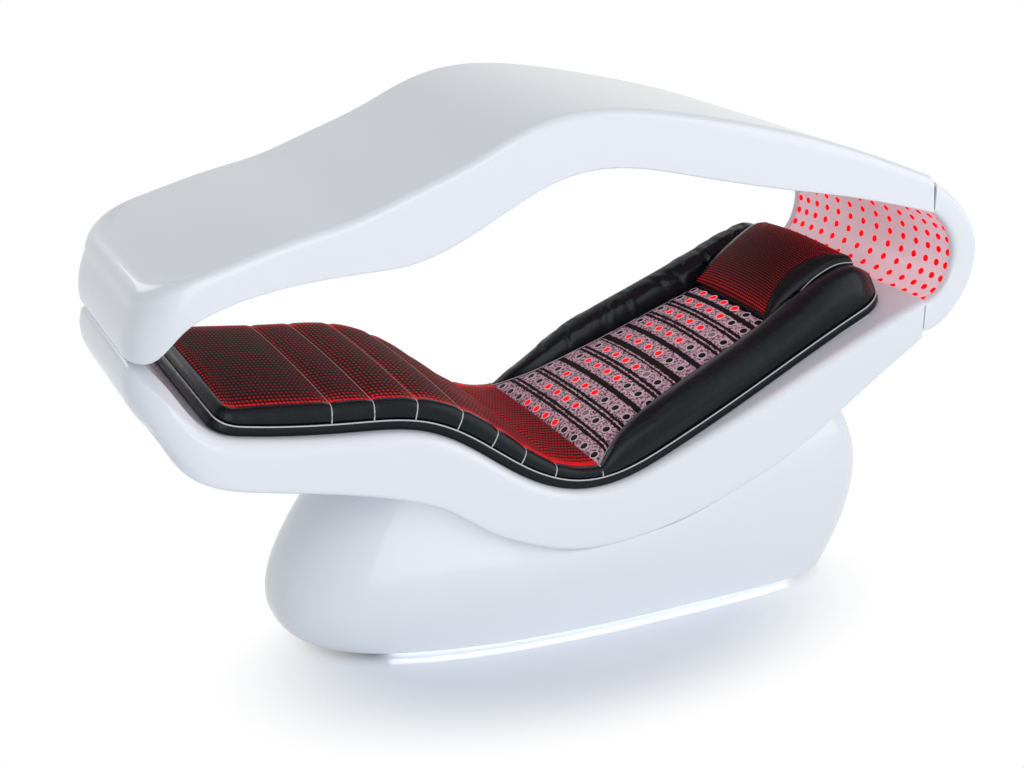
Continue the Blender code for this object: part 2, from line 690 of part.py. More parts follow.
def make_hood_lamp_panel(lines):
    """The curved lamp panel in the hood, with a raised square lens at each lamp."""
    line = offset_line(lines.hood_inner, -(SHELL_WALL + TOUCH_GAP))
    back = offset_line(lines.hood_inner, -(SHELL_WALL + TOUCH_GAP + HOOD_PANEL))
    raised = offset_line(lines.hood_inner, -(SHELL_WALL + TOUCH_GAP) + LAMP_HEIGHT)
    half = HALF_WIDTH - HOOD_ROUNDING - HOOD_PANEL_GAP
    places = [-half]
    for y in lamp_columns():
        places += [y - LAMP_SIZE / 2, y + LAMP_SIZE / 2]
    places.append(half)
    bm = bmesh.new()
    front = [[bm.verts.new((x, y, z)) for y in places] for x, z in line]
    rear = [[bm.verts.new((x, y, z)) for y in (-half, half)] for x, z in back]
    for i in range(len(line) - 1):
        for j in range(len(places) - 1):
            corners = (front[i][j], front[i][j + 1], front[i + 1][j + 1], front[i + 1][j])
            if i % 2 == 1 and j % 2 == 1:
                tops = []
                for row, column in ((i, j), (i, j + 1), (i + 1, j + 1), (i + 1, j)):
                    tops.append(bm.verts.new((raised[row][0], places[column], raised[row][1])))
                for k in range(4):
                    bm.faces.new((corners[k], corners[k - 1], tops[k - 1], tops[k]))
                bm.faces.new(tops)
            else:
                bm.faces.new(corners)
        bm.faces.new((rear[i][0], rear[i + 1][0], rear[i + 1][1], rear[i][1]))
        bm.faces.new((front[i][0], front[i + 1][0], rear[i + 1][0], rear[i][0]))
        bm.faces.new((front[i][-1], rear[i][1], rear[i + 1][1], front[i + 1][-1]))
    bm.faces.new(front[0] + rear[0][::-1])
    bm.faces.new(front[-1] + rear[-1][::-1])
    return add_object("hood_lamp_panel", bm, "lamp_panel")


def around(centre, radius, from_deg, to_deg, steps=9):
    """Points of an arc about a centre."""
    turns = [math.radians(from_deg + (to_deg - from_deg) * i / steps) for i in range(steps + 1)]
    return [(centre[0] + radius * math.cos(t), centre[1] + radius * math.sin(t)) for t in turns]


def hood_rib_faces():
    """How far off the middle plane the inner and the outer face of a hood rib lie."""
    near = RAIL_Y + RIB_THICKNESS / 2 + TOUCH_GAP
    return near, near + RIB_THICKNESS


def make_hood_ribs(lines):
    """Two plates that rise from the couch rails round the hood and end in the hinge eyes."""
    tail_low, tail_high = couch_inside(lines, HOOD_RIB_TAIL_X, RAIL_HEAD_X)
    outer = [tuple(p) for p in offset_line(lines.hood_outer, SHELL_WALL + TOUCH_GAP)[:-2]]
    behind_panel = SHELL_WALL + HOOD_PANEL + 2 * TOUCH_GAP
    inner = [tuple(p) for p in offset_line(lines.hood_inner, -behind_panel)[:-3]]
    turn = math.radians(ARM_DEG)
    way = np.array((math.cos(turn), math.sin(turn)))
    square = np.array((-way[1], way[0]))
    root = np.array(lines.hinge) + way * ARM_REACH
    upper = [tuple(root + square * ARM_HALF_WIDTH)]
    lower = [tuple(root - square * ARM_HALF_WIDTH)]
    radius = SHAFT_RADIUS + TOUCH_GAP + EYE_WALL
    eye = around(lines.hinge, radius, ARM_DEG + ARM_EYE_SPAN_DEG, ARM_DEG + 360 - ARM_EYE_SPAN_DEG)
    outline = tail_low + outer + upper + eye + lower + inner[::-1] + tail_high[::-1]
    holes = [circle(lines.hinge, SHAFT_RADIUS + TOUCH_GAP)]
    holes += [circle(c, BOLT_RADIUS + TOUCH_GAP, 12) for c in bolt_centres(lines)]
    for word, side in sides():
        y = across(side, *hood_rib_faces())
        plate("hood_rib_" + word, outline, holes, y[0], y[1], "Y", "steel")


def turned(name, profile, centre, along, finish_name, count=16):
    """A turned piece: a list of (place along the axis, radius) about a centre."""
    rings = []
    for place, radius in profile:
        rings.append([lift(p, place, along) for p in circle(centre, radius, count)])
    return tube_of_rings(name, rings, finish_name)


def make_hood_bolts(lines):
    """Bolts through the couch rails and the hood ribs, each with its nut."""
    low = RAIL_Y - RIB_THICKNESS / 2 - TOUCH_GAP
    high = hood_rib_faces()[1] + TOUCH_GAP
    profile = [(low - BOLT_HEAD, BOLT_HEAD_RADIUS), (low, BOLT_HEAD_RADIUS), (low, BOLT_RADIUS),
               (high, BOLT_RADIUS), (high, BOLT_HEAD_RADIUS), (high + BOLT_HEAD, BOLT_HEAD_RADIUS)]
    for word, side in sides():
        for number, centre in enumerate(bolt_centres(lines), 1):
            steps = [(side * y, radius) for y, radius in profile]
            turned("hood_bolt_%s_%d" % (word, number), steps, centre, "Y", "steel", 12)


def make_hinge(lines):
    """The hinge shaft through all four eyes, and a damper round each of its ends."""
    seat = hood_rib_faces()[1] + TOUCH_GAP
    end = seat + DAMPER_LENGTH + SHAFT_END
    turned("hinge_shaft", [(-end, SHAFT_RADIUS), (end, SHAFT_RADIUS)], lines.hinge, "Y", "steel", ROUND_STEPS)
    body = circle(lines.hinge, DAMPER_RADIUS)
    bore = circle(lines.hinge, SHAFT_RADIUS + TOUCH_GAP)
    for word, side in sides():
        y = across(side, seat, seat + DAMPER_LENGTH)
        plate("hinge_damper_" + word, body, [bore], y[0], y[1], "Y", "black_plastic")


def canopy_rib_faces():
    """How far off the middle plane the inner and the outer face of a canopy rib lie."""
    far = hood_rib_faces()[0] - HINGE_SIDE_GAP
    return far - RIB_THICKNESS, far


def canopy_inside(lines, from_x, to_x):
    """The lower and upper line of the free space inside the canopy."""
    under = SHELL_WALL + LINER_THICKNESS + 2 * TOUCH_GAP
    low = offset_line(resample(lines.edge, from_x, to_x), under)
    high = offset_line(resample(lines.crest, from_x, to_x), -(SHELL_WALL + TOUCH_GAP))
    return [tuple(p) for p in low], [tuple(p) for p in high]


def make_canopy_shell(lines):
    """The canopy: a wave-shaped lid whose head end is an arc about the hinge axis."""
    foot = EDGE_POINTS[0][0]
    flange = HALF_WIDTH - CANOPY_FLANGE
    inner_edge = plan_loop(lines.edge, lines.edge_curve, foot + CANOPY_FLANGE, flange, CANOPY_CORNER)
    edge = plan_loop(lines.edge, lines.edge_curve, foot, HALF_WIDTH, CANOPY_CORNER)
    lowered = lines.crest_curve - np.array((0.0, CREST_ROUNDING))
    side_line = [(x, z - CREST_ROUNDING) for x, z in lines.crest]
    crest_foot = CREST_POINTS[0][0]
    shoulder = plan_loop(side_line, lowered, crest_foot, HALF_WIDTH, CANOPY_CORNER)
    inner_foot = crest_foot + CREST_END_ROUNDING
    crest = plan_loop(lines.crest, lines.crest_curve, inner_foot, HALF_WIDTH - CREST_ROUNDING, CANOPY_CORNER)
    rows = [inner_edge, edge]
    for share in (0.33, 0.67):
        rows.append(bulge_loop(blend_loops(edge, shoulder, share, share), CANOPY_BULGE))
    rows.append(shoulder)
    turn = math.radians(45)
    rows.append(blend_loops(shoulder, crest, 1 - math.cos(turn), math.sin(turn)))
    rows.append(crest)
    bm = bmesh.new()
    verts = skin(bm, rows)
    ladder(bm, verts[-1])
    return shell("canopy_shell", bm, "gelcoat", (0.0, 0.0, middle_height(lines.edge, lines.crest, 0.0)))


def make_canopy_liner(lines):
    """The inner panel of the canopy, which lies on the flange of the shell."""
    line = resample(lines.edge, CANOPY_CORNER_X, LINER_HEAD_X)
    low = offset_line(line, SHELL_WALL + TOUCH_GAP)
    high = offset_line(line, SHELL_WALL + TOUCH_GAP + LINER_THICKNESS)
    half = HALF_WIDTH - CANOPY_FLANGE + LINER_LAP
    return band("canopy_liner", low, high, half, "lamp_panel")


def bush_radii():
    """The inner and outer radius of the hinge bushes."""
    inner = SHAFT_RADIUS + RUNNING_GAP
    return inner, inner + BUSH_WALL


def make_canopy_frame(lines):
    """Two ribs with hinge eyes, their bushes, and the tubes that join the ribs."""
    eye = bush_radii()[1] + TOUCH_GAP + EYE_WALL
    stop_x = lines.hinge[0] - eye
    low, high = canopy_inside(lines, CANOPY_CORNER_X, stop_x)
    arc = around(lines.hinge, eye, -95, 95)
    holes = lightening_holes(low, high, CANOPY_CORNER_X, stop_x, CROSS_TUBE_PLACES)
    holes.append(circle(lines.hinge, bush_radii()[1] + TOUCH_GAP))
    pieces = []
    outline = low + arc + high[::-1]
    near, far = canopy_rib_faces()
    for word, side in sides():
        y = across(side, near, far)
        pieces.append(plate("canopy_rib_" + word, outline, holes, y[0], y[1], "Y", "aluminium"))
        inner, outer = bush_radii()
        ring = circle(lines.hinge, outer)
        bore = circle(lines.hinge, inner)
        pieces.append(plate("hinge_bush_" + word, ring, [bore], y[0], y[1], "Y", "bronze"))
    end = near - TOUCH_GAP
    for number, x in enumerate(CROSS_TUBE_PLACES, 1):
        centre = (x, middle_height(low, high, x))
        ring = circle(centre, CROSS_TUBE_RADIUS, 16)
        bore = circle(centre, CROSS_TUBE_RADIUS - CROSS_TUBE_WALL, 16)
        pieces.append(plate("canopy_cross_tube_%d" % number, ring, [bore], -end, end, "Y", "aluminium"))
    return pieces


def make_lip_stops(lines):
    """Rubber pads on the foot lip of the couch, under the closed canopy."""
    deck = DECK_POINTS[0]
    rim = RIM_POINTS[0]
    turn = math.radians(30)
    run = rim[0] - deck[0]
    drop = rim[1] - deck[1]
    lip = [(deck[0] + run * math.sin(turn), deck[1] + drop * (1 - math.cos(turn))), deck]
    foot = EDGE_POINTS[0][0]
    under = [EDGE_POINTS[0], (foot + CANOPY_FLANGE, height_at(lines.edge_curve, foot + CANOPY_FLANGE))]
    low_x, high_x = STOP_X - STOP_WIDTH / 2, STOP_X + STOP_WIDTH / 2
    outline = [(low_x, height_at(lip, low_x) + TOUCH_GAP), (high_x, height_at(lip, high_x) + TOUCH_GAP),
               (high_x, height_at(under, high_x) - TOUCH_GAP), (low_x, height_at(under, low_x) - TOUCH_GAP)]
    for word, side in sides():
        y = across(side, STOP_Y - STOP_LENGTH / 2, STOP_Y + STOP_LENGTH / 2)
        plate("lip_stop_" + word, outline, [], y[0], y[1], "Y", "rubber")


def base_outline(sizes, share):
    """A point of a base outline: x and half width at a share of its length, from -1 at the nose to 1."""
    nose, tail, setback = sizes
    reach = (BASE_MIDDLE_X - nose) if share < 0 else (tail - BASE_MIDDLE_X)
    power = BASE_NOSE_POWER if share < 0 else BASE_TAIL_POWER
    width = (HALF_WIDTH - setback) * max(0.0, 1 - abs(share) ** power) ** (1 / power)
    return BASE_MIDDLE_X + reach * share, width


def base_share(sizes, x):
    """The share of an outline's length at x, from -1 at the nose to 1 at the tail."""
    nose, tail = sizes[:2]
    return (x - BASE_MIDDLE_X) / ((BASE_MIDDLE_X - nose) if x < BASE_MIDDLE_X else (tail - BASE_MIDDLE_X))


def base_shares(lines):
    """Places round the base: the stations of the belly above it, and more towards nose and tail."""
    shares = [base_share(BASE_TOP, x) for x in lines.couch_x]
    shares = [share for share in shares if abs(share) < 1]
    more = [share for share in BASE_END_SHARES if min(abs(share - other) for other in shares) > 0.02]
    return [-1.0] + sorted(shares + more) + [1.0]


def base_point(lines, share, rise):
    """A point on the near half of the base skin; rise runs from 0 at the floor to 1 under the couch."""
    x, width = base_outline(BASE_LOW, share)
    low = np.array((x, -width, BASE_FLOOR_GAP))
    x, width = base_outline(BASE_BULGE, share)
    height = BASE_BULGE_HEIGHT[0] + (BASE_BULGE_HEIGHT[1] - BASE_BULGE_HEIGHT[0]) * (share + 1) / 2
    bulge = np.array((x, -width, height))
    x, width = base_outline(BASE_TOP, share)
    top = np.array((x, -width, height_at(lines.belly, x) - BASE_SEAT_GAP))
    pull = (bulge - 0.36 * low - 0.16 * top) / 0.48
    return (1 - rise) ** 2 * low + 2 * rise * (1 - rise) * pull + rise ** 2 * top


def make_base_shell(lines):
    """The pedestal cover: a swelling skin from floor to belly, open below, with a service opening."""
    shares = base_shares(lines)
    bm = bmesh.new()
    rows = []
    for step in range(BASE_ROWS + 1):
        near = [base_point(lines, share, step / BASE_ROWS) for share in shares]
        ring = [Vector(p) for p in near] + [Vector((p[0], -p[1], p[2])) for p in near[-2:0:-1]]
        rows.append([bm.verts.new(p) for p in ring])
    count = len(rows[0])
    for a, b in zip(rows, rows[1:]):
        for i in range(count):
            bm.faces.new((a[i], a[(i + 1) % count], b[(i + 1) % count], b[i]))
    top = rows[-1]
    last = len(shares) - 1
    bm.faces.new((top[0], top[1], top[-1]))
    for i in range(1, last - 1):
        bm.faces.new((top[i], top[i + 1], top[count - i - 1], top[count - i]))
    bm.faces.new((top[last - 1], top[last], top[last + 1]))
    cover = shell("base_shell", bm, "gelcoat", (BASE_MIDDLE_X, 0.0, BASE_BULGE_HEIGHT[0]))
    low = (PANEL_X + BAY_CUT_CLEARANCE, -BAY_WIDTH / 2, BAY_LOW_Z)
    high = (BASE_BULGE[1] + BAY_CUT_CLEARANCE, BAY_WIDTH / 2, BAY_HIGH_Z)
    boolean(cover, box("bay_cutter", low, high, "gelcoat"), "DIFFERENCE")


def plate_outline(inset):
    """The bottom outline of the base, drawn in by an inset."""
    nose, tail, setback = BASE_LOW
    sizes = (nose + inset, tail - inset, setback + inset)
    near = [base_outline(sizes, -math.cos(math.pi * step / PLATE_STEPS)) for step in range(PLATE_STEPS + 1)]
    return [(x, -y) for x, y in near] + [(x, y) for x, y in near[-2:0:-1]]


def make_base_frame(lines):
    """The base plate on its feet, the light strips under it, and the two uprights under the couch."""
    inset = SHELL_WALL + PLATE_CLEARANCE
    plate_top = PLATE_HEIGHT + PLATE_THICKNESS
    plate("base_plate", plate_outline(inset), [], PLATE_HEIGHT, plate_top, "Z", "steel")
    seat = PLATE_HEIGHT - TOUCH_GAP
    profile = [(0.0, FOOT_RADIUS - FOOT_EDGE), (FOOT_EDGE, FOOT_RADIUS), (FOOT_PAD, FOOT_RADIUS),
               (FOOT_PAD + FOOT_EDGE, FOOT_STEM), (seat, FOOT_STEM)]
    for end, (x, y) in zip(("foot_end", "head_end"), FOOT_PLACES):
        for word, side in sides():
            turned("foot_%s_%s" % (end, word), profile, (x, side * y), "Z", "rubber")
    for word, side in sides():
        rings = []
        for x in np.linspace(GLOW_FROM_X, GLOW_TO_X, 13):
            far = base_outline(BASE_LOW, base_share(BASE_LOW, x))[1] - GLOW_INSET
            y = (side * (far - GLOW_WIDTH), side * far)
            low = seat - GLOW_HEIGHT
            rings.append([(x, y[0], low), (x, y[1], low), (x, y[1], seat), (x, y[0], seat)])
        tube_of_rings("underglow_" + word, rings, "lamp_strip")
    under = BASE_SEAT_GAP + SHELL_WALL + TOUCH_GAP
    top = offset_line(resample(lines.belly, PEDESTAL_FROM_X, PEDESTAL_TO_X), -under)
    top = [tuple(p) for p in top]
    floor = plate_top + TOUCH_GAP
    outline = [(top[0][0], floor), (top[-1][0], floor)] + top[::-1]
    ground = [(top[0][0], floor), (top[-1][0], floor)]
    holes = lightening_holes(ground, top, PEDESTAL_FROM_X, PEDESTAL_TO_X)
    for word, side in sides():
        y = across(side, RAIL_Y - RIB_THICKNESS / 2, RAIL_Y + RIB_THICKNESS / 2)
        plate("pedestal_plate_" + word, outline, holes, y[0], y[1], "Y", "steel")


def make_electrics():
    """The power supplies and the control unit on the base plate."""
    floor = PLATE_HEIGHT + PLATE_THICKNESS + TOUCH_GAP
    boxes = [("power_supply_%d" % number, x, SUPPLY_SIZE) for number, x in enumerate(SUPPLY_PLACES, 1)]
    boxes.append(("control_unit", CONTROL_X, CONTROL_SIZE))
    for name, x, (length, width, height) in boxes:
        low = (x - length / 2, -width / 2, floor)
        high = (x + length / 2, width / 2, floor + height)
        box(name, low, high, "aluminium" if name.startswith("power") else "black_plastic")


def bay_middle():
    """The height of the middle of the service bay."""
    return (BAY_LOW_Z + BAY_HIGH_Z) / 2


def cup(name, centre, size, wall, depth, finish_name):
    """A fitting in the service panel: a flange outside, a body through the panel and a recess in its face."""
    back = PANEL_X + PANEL_THICKNESS + TOUCH_GAP
    face = back + wall
    u, v = size
    steps = [(face - depth, (u, v)), (face, (u, v)), (face, (u + 4 * wall, v + 4 * wall)),
             (back, (u + 4 * wall, v + 4 * wall)), (back, (u + 2 * wall, v + 2 * wall)),
             (face - depth - wall, (u + 2 * wall, v + 2 * wall))]
    rings = [[lift(p, x, "X") for p in rectangle(centre, at)] for x, at in steps]
    return tube_of_rings(name, rings, finish_name)


def make_service_panel():
    """The panel in the service bay, with its inlet, switch and the slots in front of the fan."""
    middle = bay_middle()
    low = PLATE_HEIGHT + PLATE_THICKNESS + TOUCH_GAP
    high = BAY_HIGH_Z + PANEL_MARGIN
    half = BAY_WIDTH / 2 + PANEL_MARGIN
    outline = [(-half, low), (half, low), (half, high), (-half, high)]
    fittings = ((INLET_Y, INLET_SIZE, INLET_WALL), (SWITCH_Y, SWITCH_SIZE, SWITCH_WALL))
    holes = []
    for y, (u, v), wall in fittings:
        clear = 2 * (wall + TOUCH_GAP)
        holes.append(rectangle((y, middle), (u + clear, v + clear)))
    pitch = 2 * VENT_SLOT[1]
    for number in range(VENT_SLOTS):
        z = middle + (number - (VENT_SLOTS - 1) / 2) * pitch
        holes.append(rectangle((FAN_Y, z), VENT_SLOT))
    plate("service_panel", outline, holes, PANEL_X, PANEL_X + PANEL_THICKNESS, "X", "black_plastic")
    cup("power_inlet", (INLET_Y, middle), INLET_SIZE, INLET_WALL, INLET_DEPTH, "black_plastic")
    cup("switch_bezel", (SWITCH_Y, middle), SWITCH_SIZE, SWITCH_WALL, SWITCH_DEPTH, "black_plastic")


def make_rocker():
    """The rocker of the mains switch, tilted to off, with its origin on its pivot."""
    pivot = (PANEL_X + PANEL_THICKNESS + TOUCH_GAP + SWITCH_WALL - ROCKER_PIVOT_DEPTH, bay_middle())
    half = SWITCH_SIZE[1] / 2 - ROCKER_CLEARANCE
    face = [(-ROCKER_BACK, -half), (ROCKER_HORN, -half), (ROCKER_DIP, 0.0), (ROCKER_HORN, half),
            (-ROCKER_BACK, half)]
    turn = math.radians(ROCKER_TILT_DEG)
    outline = []
    for u, v in face:
        outline.append((pivot[0] + u * math.cos(turn) - v * math.sin(turn),
                        pivot[1] + u * math.sin(turn) + v * math.cos(turn)))
    width = SWITCH_SIZE[0] / 2 - TOUCH_GAP
    origin = (pivot[0], SWITCH_Y, pivot[1])
    return plate("rocker_switch", outline, [], SWITCH_Y - width, SWITCH_Y + width, "Y", "rubber", origin)


def make_fan():
    """The cooling fan behind the slots: a frame with its spider and spindle, and a bladed rotor."""
    centre = (FAN_Y, bay_middle())
    front = PANEL_X - TOUCH_GAP
    back = front - FAN_DEPTH
    bore = FAN_SIZE / 2 - FAN_WALL
    square = rectangle(centre, (FAN_SIZE, FAN_SIZE))
    frame = plate("fan_frame", square, [circle(centre, bore)], back, front, "X", "black_plastic")
    gaps = []
    for quarter in range(4):
        start = 90 * quarter + FAN_STRUT_DEG
        stop = 90 * (quarter + 1) - FAN_STRUT_DEG
        inner = around(centre, FAN_HUB_RADIUS, stop, start, 3)
        gaps.append(around(centre, bore - FAN_WALL, start, stop, 4) + inner)
    rim = circle(centre, bore + FAN_WALL / 2)
    rear = back + TOUCH_GAP
    spider = plate("fan_spider", rim, gaps, rear, rear + FAN_STRUT, "X", "black_plastic")
    boolean(frame, spider, "UNION")
    tip = front - FAN_STRUT
    pin = turned("fan_spindle", [(rear + TOUCH_GAP, SPINDLE_RADIUS), (tip, SPINDLE_RADIUS)], centre, "X",
                 "black_plastic")
    boolean(frame, pin, "UNION")
    low = rear + FAN_STRUT + RUNNING_GAP
    hole = circle(centre, SPINDLE_RADIUS + RUNNING_GAP, 16)
    hub = plate("fan_rotor", circle(centre, FAN_HUB_RADIUS), [hole], low, tip, "X", "black_plastic", (low, *centre))
    boolean(hub, fan_blades(centre, (low + tip) / 2, bore - FAN_TIP_GAP), "UNION")


def fan_blades(centre, middle_x, tip_radius):
    """The tilted blades of the rotor, rooted in its hub."""
    bm = bmesh.new()
    pitch = math.radians(FAN_PITCH_DEG)
    root = FAN_HUB_RADIUS - FAN_ROOT_DEPTH
    outer = math.sqrt(tip_radius ** 2 - (FAN_CHORD / 2) ** 2)
    for number in range(FAN_BLADES):
        turn = 2 * math.pi * number / FAN_BLADES
        out = Vector((0.0, math.cos(turn), math.sin(turn)))
        round_way = Vector((0.0, -math.sin(turn), math.cos(turn)))
        chord = round_way * math.cos(pitch) + Vector((math.sin(pitch), 0.0, 0.0))
        thick = Vector((math.cos(pitch), 0.0, 0.0)) - round_way * math.sin(pitch)
        corners = []
        for reach, half in ((root, FAN_ROOT_CHORD / 2), (outer, FAN_CHORD / 2)):
            middle = Vector((middle_x, *centre)) + out * reach
            for a, b in ((-1, -1), (1, -1), (1, 1), (-1, 1)):
                corners.append(bm.verts.new(middle + chord * half * a + thick * FAN_BLADE / 2 * b))
        for i in range(4):
            bm.faces.new((corners[i], corners[(i + 1) % 4], corners[4 + (i + 1) % 4], corners[4 + i]))
        bm.faces.new(corners[:4])
        bm.faces.new(corners[4:])
    return add_object("fan_blades", bm, "black_plastic")


def pad_half(x):
    """Half the width of the cushion set at x, with its rounded foot and head corners."""
    half = HALF_WIDTH - value_at(PAD_SETBACKS, x)
    for distance, rounding in ((x - PAD_FOOT_X, PAD_FOOT_ROUNDING), (PAD_HEAD_X - x, PAD_HEAD_ROUNDING)):
        if distance < rounding:
            half += math.sqrt(rounding ** 2 - (rounding - max(distance, 0.0)) ** 2) - rounding
    return half


def back_half(x):
    """Half the width of the back panel at x, which narrows from the seat to the head."""
    return HALF_WIDTH - value_at(BACK_SETBACKS, x)


def back_stations():
    """The stations that the back pad and the bolsters beside it share."""
    return list(np.linspace(LEG_PAD_HEAD_X + SEAT_SEAM, BACK_PAD_HEAD_X, BACK_STATIONS))


def pad_line(lines, low, high, extra=()):
    """The deck line under a cushion, lifted a little where it climbs the foot lip."""
    foot = (PAD_FOOT_X, height_at(lines.deck_curve, PAD_FOOT_X) + FOOT_LIFT)
    return resample([foot] + lines.deck, low, high, extra)


def end_places(low, high, low_rounding, high_rounding):
    """Places close to the ends of a cushion, where its outline turns."""
    shares = [1 - math.cos(math.radians(turn)) for turn in (20, 40, 62, 90)]
    near_low = [low + low_rounding * share for share in shares]
    return near_low + [high - high_rounding * share for share in shares]


def padded(name, line, section, finish_name):
    """A cushion whose cross-section at each station stands square to the deck."""
    line = np.array(line)
    moves = offset_line(line, 1.0) - line
    rings = []
    for (x, z), (across_x, across_z) in zip(line, moves):
        rings.append([(x + across_x * h, y, z + across_z * h) for y, h in section(x)])
    return tube_of_rings(name, rings, finish_name)


def mirrored(half_section):
    """A section from its right half, which runs from the bottom middle up to the top middle."""
    return [(-y, h) for y, h in half_section[::-1] if y > 0] + half_section


def make_cushion_base(lines):
    """The thin leather-edged pad under the whole set of cushions."""
    def section(x):
        w = pad_half(x)
        low = TOUCH_GAP
        right = [(w - PAD_EDGE, low), (w, low + PAD_EDGE), (w, BASE_PAD - PAD_EDGE), (w - PAD_EDGE, BASE_PAD)]
        return mirrored(right)
    places = end_places(PAD_FOOT_X, PAD_HEAD_X, PAD_FOOT_ROUNDING, PAD_HEAD_ROUNDING)
    return padded("cushion_base", pad_line(lines, PAD_FOOT_X, PAD_HEAD_X, places), section, "leather")


def make_lamp_mats(lines):
    """The lamp mats between the base pad and the leg and back pads."""
    mats = (("leg_lamp_mat", LEG_MAT, HALF_WIDTH - LEG_MAT_SETBACK),
            ("back_lamp_mat", BACK_MAT, back_half(BACK_MAT[1]) - BACK_MAT_SETBACK))
    for name, (low_x, high_x), half in mats:
        line = pad_line(lines, low_x, high_x)
        low = offset_line(line, BASE_PAD + SOFT_GAP)
        high = offset_line(line, BASE_PAD + SOFT_GAP + LAMP_MAT)
        band(name, low, high, half, "printed_circuit")


def mat_top():
    """The height above the deck at which a cushion clears its lamp mat."""
    return BASE_PAD + LAMP_MAT + 2 * SOFT_GAP


def make_leg_pad(lines):
    """The leg and seat pad: sewn channels across it, a bulging border and a pocket for its lamp mat."""
    foot_x = PAD_FOOT_X + PIPING_SETBACK

    def fullness(x):
        nearest = min(abs(x - seam) for seam in LEG_SEAMS)
        return math.sin(math.radians(90) * min(1.0, 2 * nearest / CHANNEL_WIDTH))

    def section(x):
        low = BASE_PAD + SOFT_GAP
        rise = min(1.0, (x - foot_x) / PAD_FOOT_ROUNDING)
        height = value_at(LEG_PAD_HEIGHTS, x) * (0.35 + 0.65 * math.sqrt(1 - (1 - rise) ** 2))
        drawn = CHANNEL_DEPTH * (1 - fullness(x))
        w = pad_half(x) - PIPING_SETBACK
        top = height - 0.5 * drawn
        pocket = mat_top() if x > LEG_MAT[0] - MAT_POCKET else low
        m = HALF_WIDTH - LEG_MAT_SETBACK + MAT_POCKET
        right = [(m - MAT_POCKET / 2, pocket), (m, low), (w - drawn, low), (w - drawn, low + 0.45 * height),
                 (w - 0.35 * LEG_BORDER - drawn, low + 0.85 * top), (w - LEG_BORDER - drawn, low + top),
                 (0.55 * w, low + top + 0.75 * LEG_CROWN)]
        return mirrored(right + [(0.0, low + top + LEG_CROWN)])
    places = end_places(foot_x, LEG_PAD_HEAD_X, PAD_FOOT_ROUNDING, 0.0)[:4]
    places += [LEG_MAT[0] - 1.5 * MAT_POCKET, LEG_MAT[0] - 0.5 * MAT_POCKET]
    for seam in LEG_SEAMS:
        places += [seam - CHANNEL_WIDTH / 2, seam, seam + CHANNEL_WIDTH / 2]
    return padded("leg_pad", pad_line(lines, foot_x, LEG_PAD_HEAD_X, places), section, "mesh_fabric")


def make_back_pad(lines):
    """The back pad: a crowned panel between the bolsters, which rises from the seat."""
    def section(x):
        low = mat_top()
        top = low + value_at(BACK_PAD_HEIGHTS, x)
        half = back_half(x)
        rise = top - low
        right = [(half, low), (half, low + 0.6 * rise), (half - 0.3 * BACK_SHOULDER, low + 0.88 * rise),
                 (half - BACK_SHOULDER, top), (0.55 * half, top + 0.7 * BACK_CROWN)]
        return mirrored(right + [(0.0, top + BACK_CROWN)])
    line = pad_line(lines, LEG_PAD_HEAD_X + SEAT_SEAM, BACK_PAD_HEAD_X, back_stations())
    return padded("back_pad", line, section, "patterned_fabric")


def make_bolsters(lines):
    """The two side bolsters, full rolls that taper towards the seat and the head."""
    start = LEG_PAD_HEAD_X + SEAT_SEAM
    for word, side in sides():
        def section(x, side=side):
            low = BASE_PAD + SOFT_GAP
            inner = back_half(x) + SOFT_GAP
            outer = pad_half(x) - PIPING_SETBACK
            height = value_at(BOLSTER_HEIGHTS, x)
            middle = (inner + outer) / 2
            reach = (outer - inner) / 2
            ring = []
            for step in range(11):
                turn = math.pi * step / 10
                bow = math.copysign(abs(math.cos(turn)) ** 0.8, math.cos(turn))
                ring.append((side * (middle + reach * bow), low + height * math.sin(turn) ** 0.8))
            return ring
        head = np.linspace(BACK_PAD_HEAD_X, BOLSTER_HEAD_X, BOLSTER_HEAD_STATIONS)
        line = pad_line(lines, start, BOLSTER_HEAD_X, back_stations() + list(head[1:]))
        padded("bolster_" + word, line, section, "leather")


def make_pillow(lines):
    """The headrest pillow between the bolsters, with its leather gusset and crown."""
    def section(x):
        low = BASE_PAD + SOFT_GAP
        top = low + value_at(PILLOW_HEIGHTS, x)
        half = back_half(x) - SOFT_GAP
        rise = top - low
        right = [(half - PIPING_SETBACK, low), (half, low + 0.3 * rise), (half, low + 0.62 * rise),
                 (half - 0.35 * PILLOW_SHOULDER, low + 0.88 * rise), (half - PILLOW_SHOULDER, top),
                 (0.55 * half, top + 0.7 * PILLOW_CROWN)]
        return mirrored(right + [(0.0, top + PILLOW_CROWN)])
    start = BACK_PAD_HEAD_X + SEAT_SEAM
    line = pad_line(lines, start, PILLOW_HEAD_X, np.linspace(start, PILLOW_HEAD_X, 11))
    return padded("headrest_pillow", line, section, "mesh_fabric")


def hang_on_hinge(pieces, lines):
    """Parent the moving canopy pieces to an empty on the hinge axis."""
    axis = bpy.data.objects.new("canopy_axis", None)
    axis.location = (lines.hinge[0], 0.0, lines.hinge[1])
    bpy.context.scene.collection.objects.link(axis)
    for piece in pieces:
        piece.location = -axis.location
        piece.parent = axis


def centre_on_origin():
    """Move everything along X, so that the origin lies under the middle of the object."""
    reach = []
    for thing in bpy.data.objects:
        if thing.type == "MESH" and not thing.hide_render:
            start = thing.location.x + (thing.parent.location.x if thing.parent else 0.0)
            reach += [start + v.co.x for v in thing.data.vertices]
    shift = (min(reach) + max(reach)) / 2
    for thing in bpy.data.objects:
        if thing.parent is None:
            thing.location.x -= shift


